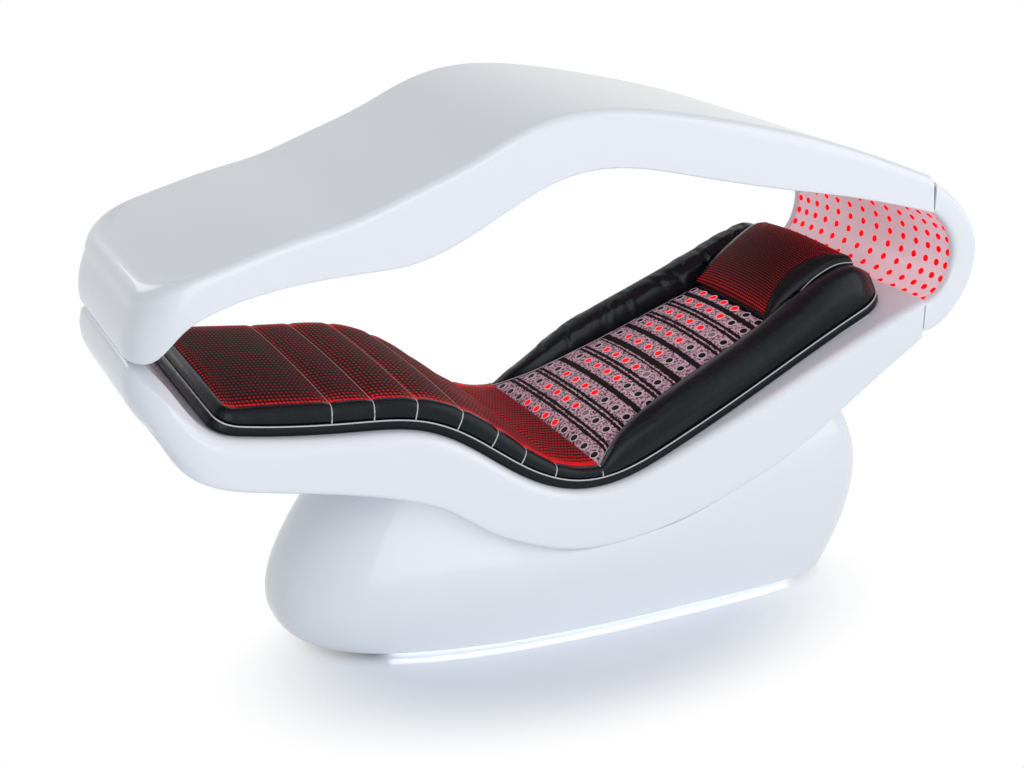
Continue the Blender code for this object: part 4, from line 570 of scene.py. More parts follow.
def mottled_finishes(colours):
    """The gelcoat, and the finishes of trim and inner frame."""
    # Polyester gelcoat from a polished mould: glossy white, with the waviness of a hand-laid wall
    mottled("polished_gelcoat", colours.gelcoat, tone(colours.gelcoat, 0.975), 0.450, (0.28, 0.34),
            detail=0.0, bump=0.05, depth=0.004, IOR=1.5, Coat_Weight=0.5, Coat_Roughness=0.05)
    # Each finish's colour, share of it in the darker places, grain, roughness and other values
    finishes = {
        # Extruded vinyl cord: smooth, pale and a little dull
        "vinyl_piping": (colours.piping, 0.85, 0.010, (0.40, 0.55), {}),
        # Doubled sewing thread, grey
        "seam_thread": (linear("9C8F90"), 0.8, 0.004, (0.60, 0.75), {}),
        # Doubled sewing thread, dark
        "dark_thread": (linear("1A0A0B"), 0.6, 0.004, (0.60, 0.75), {}),
        # Moulded silicone ring: matt and pale, with a trace of the yarn's colour
        "silicone_eyelet": (colours.eyelet, 0.8, 0.008, (0.55, 0.70), {}),
        # Unlit lens under the knit: dark and glossy
        "unlit_lens": (linear("0C070A"), 0.6, 0.010, (0.30, 0.40), {"Specular_IOR_Level": 0.1}),
        # Lens of a dimmed lamp: grey resin
        "grey_lens": (linear("8E8088"), 0.8, 0.010, (0.30, 0.40), {"Specular_IOR_Level": 0.2}),
        # Satin cast acrylic over lamps: pale pink and softly glossy, with a faint pale glow painted on
        # that lifts it out of the shade of hood and canopy
        "satin_acrylic": (colours.lamp_sheet, 0.94, 0.090, (0.28, 0.38),
                          {"IOR": 1.49, "Emission_Color": colours.lamp_sheet,
                           "Emission_Strength": 0.20}),
        # Silicone diffuser of a light strip: evenly lit, cold white
        "lit_diffuser": (colours.strip, 0.9, 0.020, (0.4, 0.5),
                         {"Emission_Color": colours.strip, "Emission_Strength": 4.0}),
        # Powder-coated steel: fine orange peel, half matt
        "coated_steel": (linear("5F6469"), 0.8, 0.004, (0.40, 0.55), {"Metallic": 0.6}),
        # Mill-finish aluminium: bright, with drawn streaks lost in the distance
        "mill_aluminium": (linear("B9BDC2"), 0.85, 0.006, (0.30, 0.45), {"Metallic": 1.0}),
        # Sintered bronze: warm, open-pored metal
        "sintered_bronze": (linear("8C6A3F"), 0.7, 0.002, (0.35, 0.55), {"Metallic": 1.0}),
        # Moulded rubber: matt black with a grey bloom
        "moulded_rubber": (linear("222223"), 0.7, 0.005, (0.70, 0.90), {}),
        # Moulded ABS: black, spark-eroded texture
        "textured_abs": (linear("1B1C1F"), 0.75, 0.003, (0.42, 0.60), {}),
        # Solder-masked circuit film: dark, smooth
        "circuit_film": (linear("2C2F33"), 0.7, 0.012, (0.45, 0.60), {}),
    }
    for name, (full, darker, grain, rough, values) in finishes.items():
        mottled(name, tone(full, darker), full, grain, rough, **values)


def run_along(curve):
    """The distance along a dense curve at each of its points."""
    return np.concatenate(([0.0], np.cumsum(np.hypot(*np.diff(curve, axis=0).T))))


def square_to(curve):
    """The direction square to a dense curve at each point, to its left as it runs."""
    run = np.gradient(curve, axis=0)
    run /= np.linalg.norm(run, axis=1)[:, None]
    return np.column_stack((-run[:, 1], run[:, 0]))


def offset_curve(curve, distance):
    """A dense curve moved square to itself, to its left as it runs."""
    return curve + distance * square_to(curve)


def spline(points, count=CURVE_COUNT):
    """Dense points of a natural cubic spline over chord length through the control points."""
    knots = np.array(points, dtype=float)
    steps = np.linalg.norm(np.diff(knots, axis=0), axis=1)
    place = np.concatenate(([0.0], np.cumsum(steps)))
    size = len(knots)
    matrix = np.eye(size)
    right = np.zeros((size, 2))
    for i in range(1, size - 1):
        matrix[i, i - 1:i + 2] = (steps[i - 1], 2 * (steps[i - 1] + steps[i]), steps[i])
        rise = (knots[i + 1] - knots[i]) / steps[i] - (knots[i] - knots[i - 1]) / steps[i - 1]
        right[i] = 6 * rise
    bend = np.linalg.solve(matrix, right)
    along = np.linspace(0.0, place[-1], count)
    part = np.clip(np.searchsorted(place, along, side="right") - 1, 0, size - 2)
    width = steps[part][:, None]
    curve = np.zeros((count, 2))
    for end, way in ((part, place[part + 1] - along), (part + 1, along - place[part])):
        way = way[:, None]
        curve += bend[end] * way ** 3 / (6 * width)
        curve += (knots[end] / width - bend[end] * width / 6) * way
    return curve


def height_at(curve, x):
    """The height of a dense curve at x."""
    return float(np.interp(x, curve[:, 0], curve[:, 1]))


def even_places(curve, low, high, count):
    """Places along x between low and high, evenly spaced along the curve."""
    inside = curve[(curve[:, 0] > low) & (curve[:, 0] < high)]
    run = run_along(inside)
    places = np.interp(np.linspace(0.0, run[-1], count), run, inside[:, 0])
    places[0], places[-1] = low, high
    return places


class Table:
    """A value that eases between the places of a table."""

    def __init__(self, points):
        self.curve = spline(points)

    def __call__(self, x):
        return height_at(self.curve, x)


class Deck:
    """The deck line that the cushions lie on, with its length along and its square direction."""

    def __init__(self):
        curve = spline(DECK_POINTS, 2 * CURVE_COUNT)
        lifted = np.clip((CORNER_X - curve[:, 0]) / (CORNER_X - PAD_FOOT_X), 0.0, 1.0)
        curve[:, 1] += FOOT_LIFT * lifted
        self.x, self.z = curve.T
        self.normal_x, self.normal_z = square_to(curve).T
        self.run = run_along(curve)

    def along(self, x):
        """The distance along the deck at x."""
        return float(np.interp(x, self.x, self.run))

    def normal(self, x):
        """The direction square to the deck at x."""
        parts = [np.interp(x, self.x, part) for part in (self.normal_x, self.normal_z)]
        return Vector((parts[0], 0.0, parts[1])).normalized()

    def place(self, x, y, height):
        """The point at a height square to the deck."""
        return Vector((x, y, np.interp(x, self.x, self.z))) + self.normal(x) * float(height)


DECK = Deck()
PAD_SETBACK = Table(PAD_SETBACKS)
BACK_SETBACK = Table(BACK_SETBACKS)


def make_piece(name, bm, *finishes):
    """A shaded mesh object from a bmesh, moved into the frame."""
    bmesh.ops.translate(bm, verts=bm.verts, vec=SHIFT)
    mesh = bpy.data.meshes.new(name)
    bm.to_mesh(mesh)
    bm.free()
    for finish in finishes:
        mesh.materials.append(bpy.data.materials[finish])
    piece = bpy.data.objects.new(name, mesh)
    bpy.context.scene.collection.objects.link(piece)
    shade(piece, SHARP_DEG)
    return piece


def shade(piece, sharp_deg):
    """Smooth shading that keeps sharp edges."""
    piece.data.shade_smooth()
    piece.data.set_sharp_from_angle(angle=math.radians(sharp_deg))


def settle(piece, sharp_deg=SHARP_DEG):
    """Apply a piece's modifiers to its mesh."""
    graph = bpy.context.evaluated_depsgraph_get()
    mesh = bpy.data.meshes.new_from_object(piece.evaluated_get(graph))
    piece.modifiers.clear()
    piece.data = mesh
    shade(piece, sharp_deg)


def hold(piece, nodes=(), body="couch"):
    """Let a piece ride on a body and stand for CAD nodes, which it hides."""
    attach(piece, body)
    if nodes:
        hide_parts(*nodes)


def bridge(bm, first, second, closed=False, index=0):
    """Faces between two rows of vertices."""
    for i in range(len(first) if closed else len(first) - 1):
        j = (i + 1) % len(first)
        bm.faces.new((first[i], first[j], second[j], second[i])).material_index = index


def skin(bm, rows, closed=False):
    """Faces between neighbouring rows of points, returned as rows of vertices."""
    verts = [[bm.verts.new(p) for p in row] for row in rows]
    for first, second in zip(verts, verts[1:]):
        bridge(bm, first, second, closed)
    return verts


def mirrored(points):
    """Points on the other side of the couch, in the reverse order."""
    return [Vector((p.x, -p.y, p.z)) for p in reversed(points)]


def plan_loop(xs, curve, foot_x, half, dip=0.0):
    """A U-shaped loop on a profile: near side from the head, round the foot end, far side back."""
    near = [Vector((x, -half, height_at(curve, x) + dip)) for x in reversed(xs)]
    start = xs[0]
    for turn in np.radians(np.linspace(0, 90, CORNER_STEPS + 1))[1:]:
        x = start + (foot_x - start) * math.sin(turn) ** (2 / CORNER_POWER)
        side = max(0.0, math.cos(turn)) ** (2 / CORNER_POWER)
        near.append(Vector((x, -half + CORNER * (1 - side), height_at(curve, x) + dip)))
    end = near[-1]
    middle = [Vector((end.x, end.y * (1 - 2 * step / FOOT_STEPS), end.z))
              for step in range(1, FOOT_STEPS)]
    return near + middle + mirrored(near)


def blend_loops(first, second, across, up):
    """A loop between two others: its plan and its height each part of the way."""
    row = []
    for p, q in zip(first, second):
        plan = p.lerp(q, across)
        row.append(Vector((plan.x, plan.y, p.z + (q.z - p.z) * up)))
    return row


def bulge_loop(row, amount):
    """A loop pushed out at its foot end, and left as it is along the sides."""
    pushed = []
    for i, p in enumerate(row):
        run = row[min(i + 1, len(row) - 1)] - row[max(i - 1, 0)]
        facing = abs(run.y) / max(math.hypot(run.x, run.y), 1e-9)
        pushed.append(p + Vector((-amount * facing, 0.0, 0.0)))
    return pushed


def side_rows(first, last, bulge):
    """Rows up a side from the first row, which is left out, to the last, bulged at the foot end."""
    return [bulge_loop(blend_loops(first, last, share, share), bulge * 4 * share * (1 - share))
            for share in np.linspace(0.0, 1.0, SIDE_ROWS)[1:]]


def soft_corner(first, corner, last, radius, steps=4):
    """Rows that round off the corner between three rows."""
    rows = []
    for t in np.linspace(0.0, 1.0, steps + 1).tolist():
        row = []
        for a, b, c in zip(first, corner, last):
            start = b + (a - b).normalized() * min(radius, EDGE_SHARE * (a - b).length)
            stop = b + (c - b).normalized() * min(radius, EDGE_SHARE * (c - b).length)
            row.append(start * (1 - t) ** 2 + b * 2 * t * (1 - t) + stop * t ** 2)
        rows.append(row)
    return rows


def quarter_rows(first, last, steps=ROUND_STEPS, upright=False):
    """Rows on a quarter ellipse between two rows, which leaves the first one in plan or upright."""
    rows = []
    for turn in np.radians(np.linspace(0, 90, steps + 1))[1:-1]:
        shares = math.sin(turn), 1 - math.cos(turn)
        rows.append(blend_loops(first, last, *(reversed(shares) if upright else shares)))
    return rows


def close_across(bm, row, count):
    """Faces across a U-shaped loop between its near and far sides, a number of them from the head."""
    for i in range(count):
        bm.faces.new((row[i], row[i + 1], row[-2 - i], row[-1 - i]))


def ladder(bm, row):
    """Faces across the whole of a U-shaped loop."""
    half = (len(row) - FOOT_STEPS + 1) // 2
    close_across(bm, row, half - 2)
    bm.faces.new(row[half - 2:half + FOOT_STEPS + 1])


def thick_shell(name, bm, inside):
    """A gelcoat skin with its wall thickened inwards; inside is a point on its hollow side."""
    bmesh.ops.remove_doubles(bm, verts=bm.verts, dist=1e-6)
    bmesh.ops.recalc_face_normals(bm, faces=bm.faces)
    inside = Vector(inside)
    outward = sum(f.normal.dot(f.calc_center_median() - inside) * f.calc_area() for f in bm.faces)
    if outward < 0:
        bmesh.ops.reverse_faces(bm, faces=bm.faces)
    piece = make_piece(name, bm, "polished_gelcoat")
    wall = piece.modifiers.new("wall", "SOLIDIFY")
    wall.thickness = SHELL_WALL
    wall.offset = -1.0
    wall.use_even_offset = True
    settle(piece)
    return piece


def make_tray():
    """The couch tray: deck round the cushion, soft rim, sides that swell at the foot, closed belly."""
    deck, rim_curve, belly = spline(DECK_POINTS), spline(RIM_POINTS), spline(BELLY_POINTS)
    xs = even_places(deck, CORNER_X, HEAD_SEAM_X - SEAM_GAP, LONG_STATIONS)
    opening = HALF_WIDTH - RIM_ROUNDING - DECK_FLANGE
    shares = np.linspace(0.0, 1.0, DECK_ROWS)
    feet = np.interp(shares, np.linspace(0.0, 1.0, len(DECK_ROW_FEET)), DECK_ROW_FEET)
    rows = [plan_loop(xs, deck, foot_x, opening + DECK_FLANGE * share)
            for share, foot_x in zip(shares, feet)]
    foot = BELLY_POINTS[0][0]
    rim = plan_loop(xs, rim_curve, RIM_POINTS[0][0], HALF_WIDTH)
    low = plan_loop(xs, belly, foot - BELLY_ROUNDING, HALF_WIDTH, BELLY_ROUNDING)
    flat = plan_loop(xs, belly, foot, HALF_WIDTH - BELLY_ROUNDING)
    inner = plan_loop(xs, belly, foot + SUPPORT, HALF_WIDTH - BELLY_ROUNDING - SUPPORT)
    rows += quarter_rows(rows[-1], rim) + [rim] + side_rows(rim, low, COUCH_BULGE)
    rows += quarter_rows(low, flat, BELLY_STEPS, upright=True) + [flat, inner]
    bm = bmesh.new()
    verts = skin(bm, rows)
    ladder(bm, verts[-1])
    close_across(bm, verts[0], sum(x > DECK_CLOSED_X for x in xs))
    middle = (height_at(deck, 0.0) + height_at(belly, 0.0)) / 2
    hold(thick_shell("couch_tray", bm, (0.0, 0.0, middle)), ("couch_shell",))


class CanopyLines:
    """Crest and edge stations of the canopy; the crest ends in an arc round the hinge axis."""

    def __init__(self):
        self.crest_curve = crest = spline(CREST_POINTS)
        self.edge_curve = spline(EDGE_POINTS)
        hinge_x = HEAD_SEAM_X - SEAM_GAP - HINGE_RADIUS
        step = HINGE_SLOPE_STEP
        drop = height_at(crest, hinge_x - step) - height_at(crest, hinge_x + step)
        lean = math.atan(drop / (2 * step))
        top_x = hinge_x + HINGE_RADIUS * math.sin(lean)
        hinge_z = height_at(crest, top_x) - HINGE_RADIUS * math.cos(lean)
        self.xs = even_places(crest, CORNER_X, top_x, LONG_STATIONS)
        turns = np.linspace(math.radians(90) - lean, math.radians(HINGE_LIP_DEG), HINGE_STEPS + 1)
        self.arc = [(hinge_x + HINGE_RADIUS * math.cos(turn), hinge_z + HINGE_RADIUS * math.sin(turn))
                    for turn in turns[1:]]
        tail = np.linspace(self.xs[-2], HEAD_SEAM_X - SEAM_GAP, HINGE_STEPS + 2)[1:]
        self.edge_xs = np.concatenate((self.xs[:-1], tail))

    def crest_loop(self, foot_x, half, dip=0.0):
        """A loop on the crest, lowered by a dip, with the arc round the hinge at its head end."""
        near = [Vector((x, -half, z + dip)) for x, z in reversed(self.arc)]
        return near + plan_loop(self.xs, self.crest_curve, foot_x, half, dip) + mirrored(near)

    def edge_loop(self, foot_x, half):
        """A loop on the lower edge."""
        return plan_loop(self.edge_xs, self.edge_curve, foot_x, half)


def make_canopy():
    """The canopy: a wave-shaped lid with a soft crest, a round nose and a crisp lower edge."""
    lines = CanopyLines()
    foot, nose = EDGE_POINTS[0][0], CREST_POINTS[0][0]
    top_foot, top_half = nose + CREST_END_ROUNDING, HALF_WIDTH - CREST_ROUNDING
    flange = lines.edge_loop(foot + CANOPY_FLANGE, HALF_WIDTH - CANOPY_FLANGE)
    edge = lines.edge_loop(foot, HALF_WIDTH)
    shoulder = lines.crest_loop(nose, HALF_WIDTH, -CREST_ROUNDING)
    crest = lines.crest_loop(top_foot, top_half)
    inner = lines.crest_loop(top_foot + SUPPORT, top_half - SUPPORT)
    sides = side_rows(edge, shoulder, CANOPY_BULGE)
    rows = [flange] + soft_corner(flange, edge, sides[0], EDGE_SOFTNESS) + sides
    rows += quarter_rows(shoulder, crest, upright=True) + [crest, inner]
    bm = bmesh.new()
    verts = skin(bm, rows)
    ladder(bm, verts[-1])
    middle = (height_at(lines.edge_curve, 0.0) + height_at(lines.crest_curve, 0.0)) / 2
    piece = thick_shell("canopy_cover", bm, (0.0, 0.0, middle))
    hold(piece, ("canopy_shell",), "canopy")


def hood_lines(count):
    """Matching places on the inner and the outer curve of the hood."""
    places = np.linspace(0, CURVE_COUNT - 1, count).round().astype(int)
    return spline(HOOD_INNER_POINTS)[places], spline(HOOD_OUTER_POINTS)[places]


def make_hood():
    """The head hood: a U-section swept round the head end, with flanges that frame the lamp sheet."""
    turns = np.radians(np.linspace(0, 90, ROUND_STEPS + 1))
    rows = []
    for a, b in zip(*hood_lines(HOOD_STATIONS)):
        step = (b - a) / np.linalg.norm(b - a)
        half = [(a, HALF_WIDTH - HOOD_ROUNDING - HOOD_FLANGE)]
        for base, way in ((a, 1), (b, -1)):
            for turn in turns[::way]:
                depth = HOOD_ROUNDING * (1 - math.cos(turn))
                y = HALF_WIDTH - HOOD_ROUNDING * (1 - math.sin(turn))
                half.append((base + step * depth * way, y))
        half.append((b, HALF_WIDTH - HOOD_ROUNDING - SUPPORT))
        near = [Vector((p[0], -y, p[1])) for p, y in half]
        rows.append(near + mirrored(near))
    bm = bmesh.new()
    skin(bm, rows)
    x, z = sum(line[1] for line in hood_lines(3)) / 2
    hold(thick_shell("hood_cover", bm, (x, 0.0, z)), ("hood_shell",))


def base_outline(sizes, share):
    """A point of a base outline: x and half width at a share of its length, from -1 at the nose to 1."""
    nose, tail, setback = sizes
    reach = (BASE_MIDDLE_X - nose) if share < 0 else (tail - BASE_MIDDLE_X)
    power = BASE_NOSE_POWER if share < 0 else BASE_TAIL_POWER
    width = (HALF_WIDTH - setback) * max(0.0, 1 - abs(share) ** power) ** (1 / power)
    return BASE_MIDDLE_X + reach * share, width


def base_point(belly, share, rise):
    """A point on the near half of the base skin; rise runs from 0 at the floor to 1 under the couch."""
    x, width = base_outline(BASE_LOW, share)
    low = Vector((x, -width, BASE_FLOOR_GAP))
    x, width = base_outline(BASE_BULGE, share)
    bulge = Vector((x, -width, np.interp(share, (-1, 1), BASE_BULGE_HEIGHT)))
    x, width = base_outline(BASE_TOP, share)
    top = Vector((x, -width, height_at(belly, x) - BASE_SEAT_GAP))
    middle = BASE_BULGE_RISE
    pull = (bulge - (1 - middle) ** 2 * low - middle ** 2 * top) / (2 * middle * (1 - middle))
    return (1 - rise) ** 2 * low + 2 * rise * (1 - rise) * pull + rise ** 2 * top


def make_base():
    """The pedestal cover: a swelling skin from floor to belly, open below, with a service opening."""
    belly = spline(BELLY_POINTS)
    sines = np.sin(np.linspace(-math.pi / 2, math.pi / 2, BASE_STATIONS)).tolist()
    shares = [math.copysign(abs(sine) ** BASE_SPACING_POWER, sine) for sine in sines]
    rows = []
    for rise in np.linspace(0.0, 1.0, BASE_ROWS).tolist():
        near = [base_point(belly, share, rise) for share in shares]
        rows.append(near + mirrored(near[1:-1]))
    bm = bmesh.new()
    top = skin(bm, rows, closed=True)[-1]
    last = len(shares) - 1
    bm.faces.new((top[0], top[1], top[-1]))
    for i in range(1, last - 1):
        bm.faces.new((top[i], top[i + 1], top[-i - 1], top[-i]))
    bm.faces.new(top[last - 1:last + 2])
    piece = thick_shell("base_cover", bm, (BASE_MIDDLE_X, 0.0, BASE_BULGE_HEIGHT[0]))
    cut_bay(piece)
    hold(piece, ("base_shell",))


def cut_bay(piece):
    """Cut the round-cornered service opening, in front of the service panel, into the base."""
    low, high = [Vector(corner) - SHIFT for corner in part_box("service_panel")]
    size = Vector((BAY_DEPTH, high.y - low.y - 2 * BAY_MARGIN, BAY_HEIGHT))
    middle = Vector((high.x + BAY_SETBACK + size.x / 2, 0.0, high.z - BAY_MARGIN - size.z / 2))
    bm = bmesh.new()
    bmesh.ops.create_cube(bm, size=1.0)
    bmesh.ops.scale(bm, vec=size, verts=bm.verts)
    bmesh.ops.translate(bm, vec=middle, verts=bm.verts)
    deep = [e for e in bm.edges if abs((e.verts[0].co - e.verts[1].co).x) > BAY_DEPTH / 2]
    bmesh.ops.bevel(bm, geom=deep, offset=BAY_CORNER, segments=5, profile=0.5, affect="EDGES")
    cutter = make_piece("bay_cutter", bm)
    cut = piece.modifiers.new("bay", "BOOLEAN")
    cut.solver = "EXACT"
    cut.object = cutter
    settle(piece)
    bpy.data.objects.remove(cutter, do_unlink=True)


def circle(side, up, count):
    """Spokes of a circle, or of an ellipse, from its two axes."""
    turns = [2 * math.pi * i / count for i in range(count)]
    return [side * math.cos(turn) + up * math.sin(turn) for turn in turns]


def add_lens(bm, centre, out, radius, height, segments=16):
    """A closed domed lens on a surface, facing out."""
    out = out.normalized()
    side = out.orthogonal().normalized()
    spokes = circle(side, out.cross(side), segments)
    rings = skin(bm, [[centre + spoke * radius * reach + out * height * rise for spoke in spokes]
                      for reach, rise in LENS_PROFILE], closed=True)
    bm.faces.new(rings[0][::-1])
    bm.faces.new(rings[-1])


def add_ring(bm, centre, out, radius, hole, height, segments=20, steps=8):
    """A closed flat ring with a round edge on a surface, facing out."""
    out = out.normalized()
    side = out.orthogonal().normalized()
    middle, reach = (radius + hole) / 2, (radius - hole) / 2
    loops = []
    for spoke in circle(side, out.cross(side), segments):
        section = circle(spoke * reach, out * height, steps)
        loops.append([bm.verts.new(centre + spoke * middle + p) for p in section])
    for first, second in zip(loops, loops[1:] + loops[:1]):
        bridge(bm, second, first, closed=True)


def add_tube(bm, points, radius, closed=False, sides=8):
    """A round cord through a row of points, with its ends filled."""
    count = len(points)
    rows = []
    for i, p in enumerate(points):
        after = points[(i + 1) % count] if closed else points[min(i + 1, count - 1)]
        before = points[i - 1] if closed else points[max(i - 1, 0)]
        run = (after - before).normalized()
        side = run.cross(Vector((0.0, 0.0, 1.0)))
        if side.length <= CORD_UPRIGHT:
            side = run.cross(Vector((1.0, 0.0, 0.0)))
        side = side.normalized()
        rows.append([p + spoke * radius for spoke in circle(side, side.cross(run), sides)])
    rings = skin(bm, rows, closed=True)
    if closed:
        bridge(bm, rings[-1], rings[0], closed=True)
    else:
        bm.faces.new(rings[0][::-1])
        bm.faces.new(rings[-1])


def bent_sheet(name, front, back, half):
    """A closed curved sheet between a front and a back curve, right across the couch."""
    ys = np.linspace(-half, half, SHEET_COLUMNS)
    rows = []
    for (a, b), (c, d) in zip(front, back):
        rows.append([Vector((a, y, b)) for y in ys] + [Vector((c, y, d)) for y in ys[::-1]])
    bm = bmesh.new()
    verts = skin(bm, rows, closed=True)
    bm.faces.new(verts[0])
    bm.faces.new(verts[-1])
    bmesh.ops.recalc_face_normals(bm, faces=bm.faces)
    # The sheet's acrylic carries a painted glow in place of the light that falls on it
    return make_piece(name, bm, "satin_acrylic")


def make_hood_lamps(sizes):
    """The curved lamp sheet of the hood and its rows of lenses, closer together towards the sides."""
    inner = hood_lines(HOOD_SHEET_STATIONS)[0]
    seat = -(SHELL_WALL + TOUCH_GAP)
    front = offset_curve(inner, seat)
    sheet = bent_sheet("hood_lamp_sheet", front, offset_curve(inner, seat - HOOD_SHEET),
                       HALF_WIDTH - HOOD_ROUNDING - HOOD_SHEET_GAP)
    hold(sheet, ("hood_lamp_panel",))
    spread = math.radians(LAMP_SPREAD_DEG)
    reach = HALF_WIDTH - HOOD_ROUNDING - HOOD_FLANGE - LAMP_EDGE
    facing = square_to(front)
    bm = bmesh.new()
    for row in range(LAMP_ROWS):
        place = (row + 0.5) / LAMP_ROWS * (len(front) - 1)
        x, z = [np.interp(place, range(len(front)), part) for part in front.T]
        out_x, out_z = facing[round(place)]
        for turn in np.linspace(-spread, spread, LAMP_COLUMNS):
            y = reach * math.sin(turn) / math.sin(spread)
            add_lens(bm, Vector((x, y, z)), Vector((out_x, 0.0, out_z)), sizes.lamp / 2, LAMP_HEIGHT)
    hold(make_piece("hood_lamps", bm, "lit_lens"))


def make_canopy_lamps(sizes):
    """The lamp sheet under the canopy and its even grid of lenses, which face down."""
    edge = spline(EDGE_POINTS)
    edge = edge[(edge[:, 0] > CORNER_X) & (edge[:, 0] < LINER_HEAD_X)][::LINER_THINNING]
    seat = SHELL_WALL + TOUCH_GAP
    front = offset_curve(edge, seat)
    half = HALF_WIDTH - CANOPY_FLANGE
    sheet = bent_sheet("canopy_lamp_sheet", front, offset_curve(edge, seat + LINER_SHEET),
                       half + LINER_LAP)
    hold(sheet, ("canopy_liner",), "canopy")
    run = run_along(front)
    facing = -square_to(front)
    pitch = sizes.canopy_pitch
    rows, columns = int(run[-1] / pitch) - 1, int(2 * half / pitch)
    bm = bmesh.new()
    for row in range(rows):
        place = run[-1] / 2 + (row - (rows - 1) / 2) * pitch
        x, z, out_x, out_z = [np.interp(place, run, part) for part in (*front.T, *facing.T)]
        for column in range(columns):
            y = (column - (columns - 1) / 2) * pitch
            add_lens(bm, Vector((x, y, z)), Vector((out_x, 0.0, out_z)), sizes.lamp / 2, LAMP_HEIGHT,
                     CANOPY_LENS_SIDES)
    hold(make_piece("canopy_lamps", bm, "lit_lens"), (), "canopy")


def at(value, *place):
    """A value that may be a function of a place."""
    return value(*place) if callable(value) else value


class Pad:
    """A cushion in deck coordinates: loops from its bottom edge to its top edge, and grids across."""

    def __init__(self, stations, half_at, across, low_round=0.0, high_round=0.0):
        self.stations = stations
        self.half_at = half_at
        self.across = across
        self.ends = ((low_round, stations[0], 1), (high_round, stations[-1], -1))
        self.bm = bmesh.new()
        self.lay = self.bm.verts.layers.float_vector.new("lay")
        self.loops = []
        self.rung_sets = []

    def rungs(self, inset):
        """Stations and half widths of the outline drawn in by an inset, with its rounded ends."""
        places = []
        for rounding, end, way in self.ends:
            corner = []
            if rounding:
                radius, drawn = rounding - inset, END_SHARE * inset
                for turn in np.radians(np.linspace(0, 90, PAD_ROUND_STEPS, endpoint=False)):
                    x = end - way * (rounding - drawn) * math.cos(turn)
                    corner.append((x, self.half_at(end) - inset - radius * (1 - math.sin(turn))))
            places.append(corner)
        body = [(x, self.half_at(x) - at(inset, x)) for x in self.stations]
        return places[0] + body + places[1][::-1]

    def inner(self, width):
        """Even places across the cushion between its edges."""
        return [-width + 2 * width * j / self.across for j in range(1, self.across)]

    def vert(self, x, y, height, light):
        """A new point of the cushion, which remembers its place on the deck and its light."""
        v = self.bm.verts.new(DECK.place(x, y, at(height, x, y)))
        v[self.lay] = Vector((DECK.along(x), y, at(light, x, y)))
        return v

    def add_loop(self, inset, height, light=0.0, index=0):
        """A loop round the cushion; height and light are values or functions of x and y."""
        rungs = self.rungs(inset)
        (first, low), (last, high) = rungs[0], rungs[-1]
        plan = [(x, -w) for x, w in reversed(rungs)] + [(first, y) for y in self.inner(low)]
        plan += rungs + [(last, y) for y in reversed(self.inner(high))]
        loop = [self.vert(x, y, height, light) for x, y in plan]
        if self.loops:
            bridge(self.bm, self.loops[-1], loop, True, index)
        self.loops.append(loop)
        self.rung_sets.append(rungs)

    def fill(self, number, height, light=0.0, index=0):
        """A grid of faces across a loop, whose inner points take the given height."""
        loop, rungs, n = self.loops[number], self.rung_sets[number], self.across
        count = len(rungs)
        rows = []
        for i, (x, w) in enumerate(rungs):
            near, far = loop[count - 1 - i], loop[count + n - 1 + i]
            if i == 0:
                middle = loop[count:count + n - 1]
            elif i == count - 1:
                middle = loop[2 * count + n - 1:][::-1]
            else:
                middle = [self.vert(x, y, height, light) for y in self.inner(w)]
            rows.append([near, *middle, far])
        for first, second in zip(rows, rows[1:]):
            bridge(self.bm, first, second, index=index)
        return rows

    def section(self, rows, x):
        """The points round the cushion at the station nearest to x: up its near side, across and down."""
        rungs = self.rung_sets[-1]
        i = min(range(len(rungs)), key=lambda k: abs(rungs[k][0] - x))
        count, n = len(rungs), self.across
        near = [loop[count - 1 - i] for loop in self.loops]
        far = [loop[count + n - 1 + i] for loop in self.loops]
        return near[:-1] + rows[i] + far[:-1][::-1]


def spaced(low, high, marks=(), step=PAD_STEP):
    """Stations from low to high that fall on the marks and lie about a step apart."""
    ends = [low] + [m for m in marks if low < m < high] + [high]
    places = [low]
    for a, b in zip(ends, ends[1:]):
        places += list(np.linspace(a, b, max(2, round((b - a) / step)) + 1)[1:])
    return places


def pad_half(x):
    """Half the width of the cushion set at x."""
    return HALF_WIDTH - PAD_SETBACK(x)


def back_half(x):
    """Half the width of the back panel at x, which narrows from the seat to the head."""
    return HALF_WIDTH - BACK_SETBACK(x)


def inner_half(x):
    """Half the width between the bolsters at x, which spread a little beside the pillow."""
    return back_half(x) + np.interp(x, (PILLOW_START_X, PILLOW_HEAD_X), (0.0, PILLOW_SPREAD))


def crowned(height, crown, share):
    """A height with the crown of a cushion, which ends at a share of 1 from its middle."""
    return height + crown * (1 - min(1.0, share) ** 2)


def fading(gain, reach, distance):
    """A glow that fades with distance."""
    return gain * math.exp(-distance / reach)


def growing(gain, start, run, x):
    """A glow that grows from a start over a run."""
    return gain * np.clip((x - start) / run, 0.0, 1.0)


